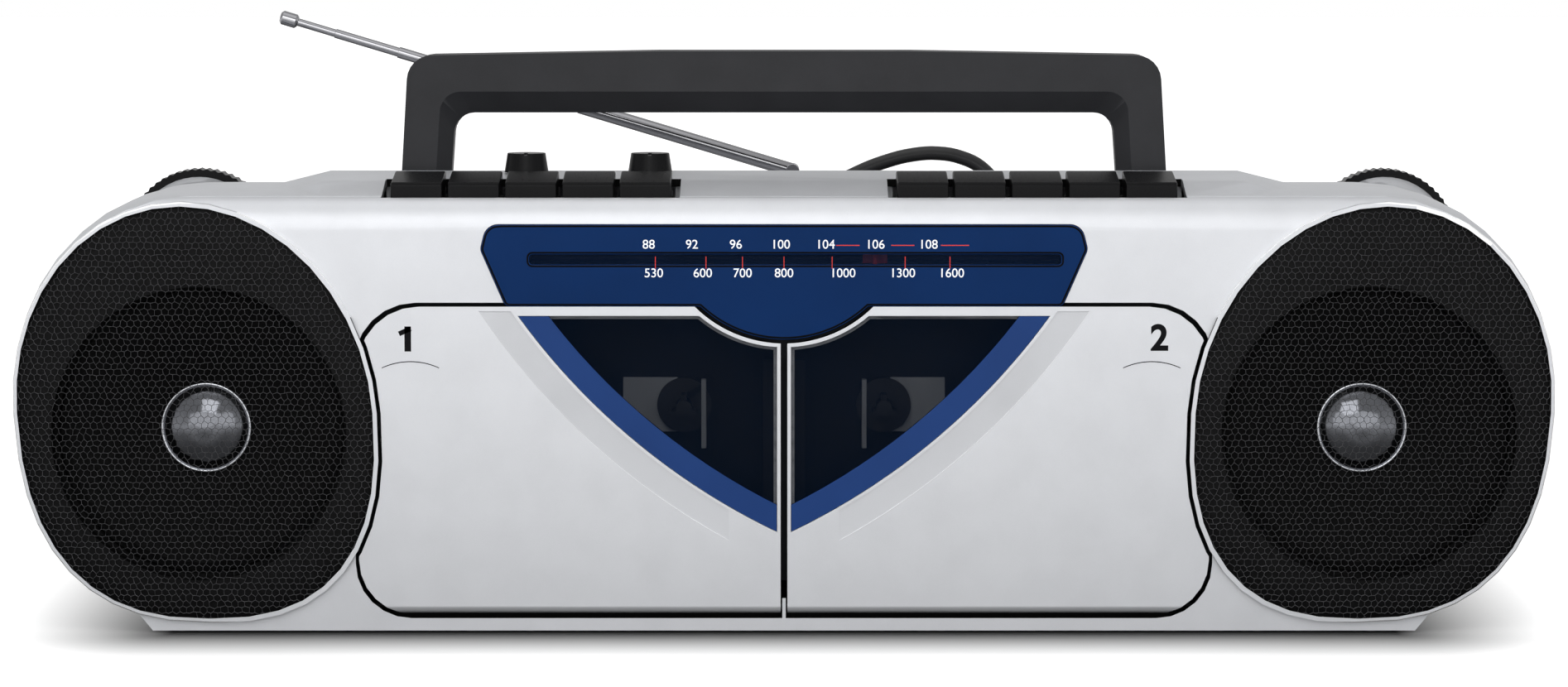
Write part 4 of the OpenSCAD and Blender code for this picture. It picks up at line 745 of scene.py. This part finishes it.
UPPER_NUMBERS = (("88", 784), ("92", 836), ("96", 889), ("100", 943), ("104", 997), ("106", 1057), ("108", 1121))
LOWER_NUMBERS = (("530", 790), ("600", 849), ("700", 897), ("800", 947), ("1000", 1018), ("1300", 1090),
                 ("1600", 1149))
UPPER_RISE = 20.1 * MM
LOWER_RISE = 10.8 * MM
SLOT_LEFT, SLOT_RIGHT = -82.5 * MM, 89.8 * MM
SLOT_RISE, SLOT_H, SLOT_CORNER = 13.7 * MM, 3.2 * MM, 1 * MM
DIAL_BASE = LENS_HIGH.z - 26.6 * MM  # the height that the rises count from
TICKS = (792, 853, 897, 947, 1005, 1093, 1147)
TICK_HALF, TICK_DROP = 0.13 * MM, 1.4 * MM
DASHES = ((1010, 1038), (1076, 1104), (1136, 1170))
DASH_LOW, DASH_HIGH = 0.35 * MM, 0.05 * MM
LENS_FLAT = -0.99
LENS_CUT = 1 * MM  # how far the cutter reaches past the lens


def cut(obj, cutter, operation="DIFFERENCE"):
    """Cuts a piece with another one, which stays."""
    modify(obj, "BOOLEAN", object=cutter, operation=operation, solver="EXACT")


def slot_cutter(z0, z1):
    """A block through the lens with round corners, as seen from the front."""
    obj = block(SLOT_LEFT, SLOT_RIGHT, LENS_LOW.y - LENS_CUT, LENS_HIGH.y + LENS_CUT, z0, z1)
    points = obj.data.vertices
    pick(obj, "edges", lambda edge: abs(points[edge.vertices[0]].co.y - points[edge.vertices[1]].co.y) > 0.1 * MM)
    bpy.ops.mesh.bevel(offset=SLOT_CORNER, segments=5, affect="EDGES")
    bpy.ops.object.mode_set(mode="OBJECT")
    return obj


class BOOMBOX_OT_dial(bpy.types.Operator):
    """Fits the dial lens, its slot, numbers and marks, and the pointer behind it"""
    bl_idname = "boombox.dial"
    bl_label = "Dial"

    def execute(self, context):
        slot_z = DIAL_BASE + SLOT_RISE
        cutter = slot_cutter(slot_z, slot_z + SLOT_H)
        lens = solid_copy("dial_lens", "dial_glass")
        strip = solid_copy("dial_lens", "dial_slot")
        cut(lens, cutter)
        cut(strip, cutter, "INTERSECT")
        bpy.data.objects.remove(cutter)
        soften(lens, width=0.3 * MM)
        pick(lens, "polygons", lambda face: face.normal.y < LENS_FLAT)
        bpy.ops.mesh.inset(thickness=sizes().lens_border)
        bpy.ops.object.mode_set(mode="OBJECT")
        border = [face.index for face in lens.data.polygons if face.normal.y < LENS_FLAT and not face.select]
        for piece, finish in ((lens, "lens_blue"), (strip, "slot_clear")):
            smooth(piece)
            paint(piece, finish, "band_black")
            fit(piece, BODY_OF["dial_lens"], "dial_blue")
        for index in border:
            lens.data.polygons[index].material_index = 1
        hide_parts("dial_lens")
        front = LENS_LOW.y - sizes().proud / 2
        numbers = [numerals(text, sizes().numeral, photo_x(x), front, DIAL_BASE + rise, weight=0.02 * MM)
                   for row, rise in ((UPPER_NUMBERS, UPPER_RISE), (LOWER_NUMBERS, LOWER_RISE)) for text, x in row]
        marks = [bar(photo_x(x) - TICK_HALF, photo_x(x) + TICK_HALF, slot_z - TICK_DROP, slot_z + 0.8 * SLOT_H, front)
                 for x in TICKS]
        dash_z = DIAL_BASE + UPPER_RISE
        marks += [bar(photo_x(x0), photo_x(x1), dash_z - DASH_LOW, dash_z - DASH_HIGH, front) for x0, x1 in DASHES]
        for printed, name, finish, slot in ((numbers, "dial_numbers", "print_white", "dial_blue"),
                                            (marks, "dial_marks", "pointer_red", "pointer_red")):
            piece = join(printed, name)
            paint(piece, finish)
            fit(piece, BODY_OF["dial_lens"], slot)
        moulded("dial_plate", "dial_back", "dial_navy", "plate_navy", edge=0.2 * MM)
        moulded("dial_pointer", "dial_needle", "pointer_red", "pointer_red", edge=0.15 * MM)
        return {"FINISHED"}


# Cassette doors with smoked windows, a printed band along each arc, and the deck numbers

ARC_X, ARC_Z = 93.7 * MM, 232.7 * MM
ARC_R = 221.4 * MM
RIDGE_R = 231 * MM
FACET_SINK, FACET_SLACK = 0.4 * MM, 0.05 * MM
# reach of the doors' painted highlight lines along the ridge and the window's arc
BRIGHT_DEPTH, RIDGE_HALF, ARC_HALF = 1.2 * MM, 0.9 * MM, 1.2 * MM
# reach of the painted shade on the doors' upper edges, under the gap above them
UPPER_REACH = 12 * MM
DOOR_FLAT, DOOR_TOP = -0.9, 0.3  # a normal's y or z, past which a face looks to the front or up
PANE_CUT = 5 * MM
DIGIT_PLACES = (("1", 493, 496), ("2", 1400, 1391))  # columns of a number and of the line under it
DIGIT_ROW, RULE_ROW = 410, 438
RULE_R, RULE_HALF, RULE_THICK = 22 * MM, math.radians(26), 0.3 * MM
STEM_SHARE = 0.13  # half the width of the one's stem, as a share of its height
FLAG_LEFT, FLAG_RIGHT, FLAG_DROP = 3.3, 0.6, 1.5  # in half widths of the stem
FLAG_TURN = 0.42


def arc_cutter(x):
    """A disc that ends at the band of a window, running from front to back."""
    y0, y1 = PANE_LOW.y - PANE_CUT, PANE_HIGH.y + PANE_CUT
    bpy.ops.mesh.primitive_cylinder_add(
        vertices=192, radius=ARC_R - sizes().band_width, depth=y1 - y0, location=(x, (y0 + y1) / 2, ARC_Z),
        rotation=FACING)
    obj = bpy.context.object
    settle(obj)
    return obj


class BOOMBOX_OT_doors(bpy.types.Operator):
    """Fits the cassette doors, their windows, holders and printed numbers"""
    bl_idname = "boombox.doors"
    bl_label = "Cassette doors"

    def execute(self, context):
        front = DOOR_LOW.y - sizes().proud / 2
        for (side, sign), (digit, x, rule_x) in zip(SIDES, DIGIT_PLACES):
            body = BODY_OF[f"door_{side}"]
            panel = moulded(f"door_{side}", f"door_panel_{side}", "silver_plastic", "silver_paint",
                            "silver_facet", "silver_edge", "band_black", edge=sizes().door_edge)
            for face in panel.data.polygons:
                face.material_index = self.panel_finish(face, sign)
            arc = arc_cutter(sign * -ARC_X)
            pane = solid_copy(f"window_{side}", f"window_pane_{side}")
            band = solid_copy(f"window_{side}", f"window_band_{side}")
            cut(pane, arc, "INTERSECT")
            cut(band, arc)
            bpy.data.objects.remove(arc)
            soften(band, width=0.15 * MM)
            for piece, finish in ((pane, "pane_navy"), (band, "band_blue")):
                smooth(piece)
                paint(piece, finish)
                fit(piece, body, "window_navy")
            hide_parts(f"window_{side}")
            moulded(f"tape_holder_{side}", f"cassette_holder_{side}", "grey_plastic", "holder_grey", edge=0.25 * MM)
            number = self.number(digit, photo_x(x), front, photo_z(DIGIT_ROW))
            rule = self.rule(photo_x(rule_x), front, photo_z(RULE_ROW))
            marks = join([number, rule], f"deck_number_{side}")
            paint(marks, "print_black")
            fit(marks, body, "black_plastic")
        moulded("door_hinge_rod", "hinge_rod", "steel", "band_black", edge=0.1 * MM)
        return {"FINISHED"}

    def panel_finish(self, face, sign):
        """Which finish a face of a door has: 1 beside the window, a painted shade fading downwards; 2 on the two arcs,
        a painted highlight; 3 on the upper edge, painted shade of the gap above it.
        """
        off = math.hypot(face.center.x - sign * -ARC_X, face.center.z - ARC_Z)
        depth = face.center.y - DOOR_LOW.y
        if face.normal.y < DOOR_FLAT:
            return int(abs(depth - FACET_SINK) < FACET_SLACK and ARC_R < off < RIDGE_R)
        # painted highlight along the ridge and along the window's arc
        if depth < BRIGHT_DEPTH and (abs(off - RIDGE_R) < RIDGE_HALF or abs(off - ARC_R) < ARC_HALF):
            return 2
        return 3 if face.normal.z > DOOR_TOP and face.center.z > DOOR_HIGH.z - UPPER_REACH else 0

    def number(self, digit, x, y, z):
        """A bold deck number; the one is a stem with a flag."""
        tall = sizes().deck_digit
        if digit != "1":
            return numerals(digit, tall, x, y, z, weight=0.34 * MM)
        top, half = z + tall / 2, STEM_SHARE * tall
        right = x + FLAG_RIGHT * half
        stem = bar(x - half, x + half, z - tall / 2, top, y)
        flag = bar(x - FLAG_LEFT * half, right, top - FLAG_DROP * half, top, y)
        alone(flag)
        bpy.ops.transform.rotate(
            value=FLAG_TURN, orient_axis="Y", orient_type="GLOBAL", center_override=(right, y, top))
        settle(flag)
        return join([stem, flag], "numeral_one")

    def rule(self, x, y, z):
        """A thin arched line under a deck number."""
        bpy.ops.mesh.primitive_circle_add(vertices=144, radius=RULE_R, location=(x, y, z - RULE_R), rotation=FACING)
        line = bpy.context.object
        settle(line)
        pick(line, "vertices", lambda v: v.co.z < z - RULE_R + RULE_R * math.cos(RULE_HALF))
        bpy.ops.mesh.delete(type="VERT")
        bpy.ops.mesh.select_all(action="SELECT")
        bpy.ops.mesh.extrude_edges_move(TRANSFORM_OT_translate={"value": (0, 0, RULE_THICK)})
        bpy.ops.object.mode_set(mode="OBJECT")
        modify(line, "SOLIDIFY", thickness=sizes().proud, offset=0)
        return line


# Controls on the deck and the shoulders, handle and antenna

class BOOMBOX_OT_controls(bpy.types.Operator):
    """Finishes the ten keys, the two small knobs and the two edge wheels"""
    bl_idname = "boombox.controls"
    bl_label = "Keys, knobs and wheels"

    def execute(self, context):
        for side, _ in SIDES:
            for number in range(1, 6):
                moulded(f"key_{side}_{number}", f"piano_key_{side}_{number}", "black_plastic", "key_black",
                        edge=sizes().key_edge)
        for name in ("function", "band"):
            moulded(f"{name}_knob", f"{name}_knob_cap", "black_plastic", "key_black", edge=0.7 * MM)
        for name in ("tuning", "volume"):
            moulded(f"{name}_wheel", f"{name}_edge_wheel", "black_plastic", "key_black", edge=0.2 * MM)
        return {"FINISHED"}


class BOOMBOX_OT_handle(bpy.types.Operator):
    """Finishes the folding carrying handle"""
    bl_idname = "boombox.handle"
    bl_label = "Handle"

    def execute(self, context):
        moulded("handle", "carrying_handle", "charcoal_plastic", "handle_charcoal", edge=sizes().handle_edge, angle=30)
        return {"FINISHED"}


class BOOMBOX_OT_antenna(bpy.types.Operator):
    """Finishes the telescopic antenna and its swivel"""
    bl_idname = "boombox.antenna"
    bl_label = "Antenna"

    def execute(self, context):
        for node, name in (("antenna_swivel", "antenna_fork"), ("antenna_mast", "antenna_outer_tube"),
                           ("antenna_tube_2", "antenna_middle_tube"), ("antenna_tube_3", "antenna_inner_tube")):
            moulded(node, name, "chrome", "chrome", edge=0.12 * MM)
        return {"FINISHED"}


# Mechanism behind the windows, and what else lies inside

SPINDLE_R = 4.6 * MM
TAPE_GUIDES = ((35, 53, 0.8, 63.7, 81.7), (25.6, 27.2, 4, 58.5, 81.2))  # mm: near, far, thick, low, high
GUIDE_EDGE = 0.2 * MM


class BOOMBOX_OT_tape_decks(bpy.types.Operator):
    """Finishes the mechanism behind the windows"""
    bl_idname = "boombox.tape_decks"
    bl_label = "Tape decks"

    def execute(self, context):
        moulded("deck_chassis", "mechanism_plate", "steel", "chassis_grey", edge=0.25 * MM)
        moulded("deck_posts", "mechanism_posts", "steel", "steel", edge=0.2 * MM)
        moulded("tape_heads", "heads", "steel", "steel", edge=0.3 * MM)
        for side, _ in SIDES:
            for place in ("outer", "inner"):
                node = f"reel_{side}_{place}"
                spindle = moulded(node, f"spindle_{side}_{place}", "black_plastic", "spindle_dark",
                                  "chassis_grey", edge=0.3 * MM)
                low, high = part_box(node)
                middle = (low + high) / 2
                for face in spindle.data.polygons:
                    off = math.hypot(face.center.x - middle.x, face.center.z - middle.z)
                    face.material_index = int(off > SPINDLE_R)
            moulded(f"capstan_{side}", f"flywheel_{side}", "steel", "steel", edge=0.3 * MM)
        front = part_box("deck_chassis")[0].y
        for side, sign in SIDES:
            plate = join(
                [block(sign * near * MM, sign * far * MM, front - thick * MM, front, low * MM, high * MM, GUIDE_EDGE)
                 for near, far, thick, low, high in TAPE_GUIDES], f"tape_guides_{side}")
            paint(plate, "plate_grey")
            fit(plate, BODY_OF["deck_chassis"], "steel")
        return {"FINISHED"}


class BOOMBOX_OT_inside(bpy.types.Operator):
    """Finishes the pieces that only show with the doors or the battery cover open"""
    bl_idname = "boombox.inside"
    bl_label = "Inside"

    def execute(self, context):
        for node, name, slot, finish in (
                ("motor", "drive_motor", "steel", "steel"), ("motor_pulley", "drive_pulley", "contact_brass", "brass"),
                ("drive_belt", "belt", "black_rubber", "rubber_black"),
                ("main_board", "circuit_board", "board_green", "board_green"),
                ("transformer", "mains_transformer", "steel", "dark_steel"),
                ("control_pots", "controls_inside", "steel", "steel"),
                ("key_axles", "key_rods", "steel", "steel"),
                ("battery_contacts", "contacts", "contact_brass", "brass")):
            moulded(node, name, slot, finish, edge=0.15 * MM)
        return {"FINISHED"}


# Studio

FLOOR_HALF = 9.0
FLOOR_DROP = 0.02 * MM
# painted shadow on the floor round the object's foot, reaching further out in reflections
FOOT = (0.2, 0.07, 0.0)  # half the width and depth of the shaded foot
FOOT_FADE, FAR_FADE = 0.055, 0.7
NEAR_GLOW = 0.8  # the floor's glow where the shade ends
# the painted shadow's floor colour at the foot and where it fades out
FOOT_TONE, NEAR_TONE = 0.03, 0.5
FLOOR_GREY, WORLD_GREY = 0.18, 0.26  # to rays that light the object
AHEAD, BEHIND, OVERHEAD = 1.0, 0.95, 0.58  # the world's strength in reflections
LIGHTS = (  # name, place, turn in degrees, width and height, watts, whether reflections show it
    ("top_light", (-0.3, -0.5, 1.9), (0, 0, 0), (1.6, 1.6), 5, True),
    ("screen", (0.0, -2.0, 0.42), (90, 0, 0), (2.8, 0.8), 7.5, True),
    ("front_light", (0, -0.42, 0.38), (51, 0, 0), (1.3, 0.25), 3.1, False),
    ("key_light", (-0.15, -1.25, 0.72), (63, 0, -7), (0.6, 0.45), 2.4, True),
)


class BOOMBOX_OT_stage(bpy.types.Operator):
    """Makes the pale floor, the soft lights and the white surroundings"""
    bl_idname = "boombox.stage"
    bl_label = "Studio"

    def execute(self, context):
        bpy.ops.mesh.primitive_plane_add(size=2 * FLOOR_HALF, location=(0, 0, CAD_LOW.z - FLOOR_DROP))
        floor = rename(context.object, "floor")
        floor.data.materials.append(self.floor_finish())
        for name, place, turn, size, watts, glossy in LIGHTS:
            bpy.ops.object.light_add(type="AREA", location=place, rotation=[math.radians(a) for a in turn])
            lamp = context.object
            lamp.name = name
            lamp.visible_glossy = glossy
            lamp.data.shape = "RECTANGLE"
            lamp.data.size, lamp.data.size_y = size
            lamp.data.energy = watts
        self.surroundings(context.scene)
        context.scene.view_settings.view_transform = "Standard"
        return {"FINISHED"}

    def either(self, tree, one, other):
        """The larger of two values."""
        larger = node_of(tree, "ShaderNodeMath", -400, 200)
        larger.operation = "MAXIMUM"
        tree.links.new(one, larger.inputs[0])
        tree.links.new(other, larger.inputs[1])
        return larger.outputs[0]

    def between(self, tree, share, x, y, low, high):
        """Blends two values, given as numbers or as sockets."""
        mix = node_of(tree, "ShaderNodeMix", x, y)
        for name, value in (("A", low), ("B", high)):
            if isinstance(value, float):
                mix.inputs[name].default_value = value
            else:
                tree.links.new(value, mix.inputs[name])
        tree.links.new(share, mix.inputs["Factor"])
        return mix.outputs["Result"]

    def floor_finish(self):
        """White paper with a painted shadow at the object's foot; reflections see it dark there for longer."""
        finish, tree, surface, place = bare_finish("floor_white")
        surface.inputs["Roughness"].default_value = 0.6
        surface.inputs["Specular IOR Level"].default_value = 0.1
        surface.inputs["Emission Color"].default_value = (1, 1, 1, 1)
        path = node_of(tree, "ShaderNodeLightPath", -800, -300)
        for step, operation in enumerate(("ABSOLUTE", "SUBTRACT", "MAXIMUM", "LENGTH")):
            reach = node_of(tree, "ShaderNodeVectorMath", -1300 + 150 * step, 300)
            reach.operation = operation
            reach.inputs[1].default_value = FOOT if operation == "SUBTRACT" else (0, 0, 0)
            tree.links.new(place, reach.inputs[0])
            place = reach.outputs["Value" if operation == "LENGTH" else "Vector"]
        near = ramp_of(tree, place, -700, 600, 0.0, FOOT_FADE, 0.0, NEAR_GLOW)
        shade = ramp_of(tree, place, -700, 300, 0.0, FOOT_FADE, FOOT_TONE, NEAR_TONE)
        far = ramp_of(tree, place, -700, 0, FOOT_FADE, FAR_FADE, 0.0, 1.0)
        glow = self.between(tree, far, -200, 600, near, 1.0)
        seen = self.either(tree, path.outputs["Is Camera Ray"], path.outputs["Is Transmission Ray"])
        shine = self.between(tree, path.outputs["Is Glossy Ray"], -200, -300, 0.0, far)
        tree.links.new(self.between(tree, seen, 0, 300, FLOOR_GREY, shade), surface.inputs["Base Color"])
        tree.links.new(self.between(tree, seen, 0, -300, shine, glow), surface.inputs["Emission Strength"])
        return finish

    def surroundings(self, scene):
        """White to the eye and in reflections, but grey overhead there."""
        world = bpy.data.worlds.new("studio")
        scene.world = world
        world.use_nodes = True
        tree = world.node_tree
        light = tree.nodes["Background"]
        light.inputs["Color"].default_value = (1, 1, 1, 1)
        path = node_of(tree, "ShaderNodeLightPath", -900, 0)
        way = node_of(tree, "ShaderNodeTexCoord", -900, -300)
        parts = node_of(tree, "ShaderNodeSeparateXYZ", -700, -300)
        tree.links.new(way.outputs["Generated"], parts.inputs[0])
        around = ramp_of(tree, parts.outputs["Y"], -500, 0, -0.5, 0.4, AHEAD, BEHIND)
        above = ramp_of(tree, parts.outputs["Z"], -500, -300, 0.0, 0.4, 0.0, 0.9)
        glossy = self.between(tree, above, -300, -300, around, OVERHEAD)
        shine = self.between(tree, path.outputs["Is Glossy Ray"], -150, -100, WORLD_GREY, glossy)
        seen = self.either(tree, path.outputs["Is Camera Ray"], path.outputs["Is Transmission Ray"])
        tree.links.new(self.between(tree, seen, -150, 200, shine, 1.0), light.inputs["Strength"])


class BOOMBOX_PT_panel(bpy.types.Panel):
    """Lists the boombox's pieces and settings"""
    bl_idname = "BOOMBOX_PT_panel"
    bl_label = "Boombox"
    bl_space_type = "VIEW_3D"
    bl_region_type = "UI"
    bl_category = "Boombox"

    def draw(self, context):
        for group in (context.scene.boombox_colours, context.scene.boombox_sizes):
            column = self.layout.column()
            for name in group.__annotations__:
                column.prop(group, name)
        for operator in OPERATORS:
            self.layout.operator(operator.bl_idname)


OPERATORS = (
    BOOMBOX_OT_camera, BOOMBOX_OT_mains_lead, BOOMBOX_OT_cabinet, BOOMBOX_OT_grilles, BOOMBOX_OT_speakers,
    BOOMBOX_OT_dial, BOOMBOX_OT_doors, BOOMBOX_OT_controls, BOOMBOX_OT_handle, BOOMBOX_OT_antenna,
    BOOMBOX_OT_tape_decks, BOOMBOX_OT_inside, BOOMBOX_OT_stage)
CLASSES = (BoomboxColours, BoomboxSizes, *OPERATORS, BOOMBOX_PT_panel)


def register():
    """Adds the classes and the settings."""
    for cls in CLASSES:
        bpy.utils.register_class(cls)
    bpy.types.Scene.boombox_colours = bpy.props.PointerProperty(type=BoomboxColours)
    bpy.types.Scene.boombox_sizes = bpy.props.PointerProperty(type=BoomboxSizes)


def unregister():
    """Takes the settings and the classes away."""
    del bpy.types.Scene.boombox_colours, bpy.types.Scene.boombox_sizes
    for cls in reversed(CLASSES):
        bpy.utils.unregister_class(cls)


def main():
    """Builds the pieces in order."""
    register()
    for operator in OPERATORS:
        group, name = operator.bl_idname.split(".")
        getattr(getattr(bpy.ops, group), name)()


if __name__ == "__main__":
    main()
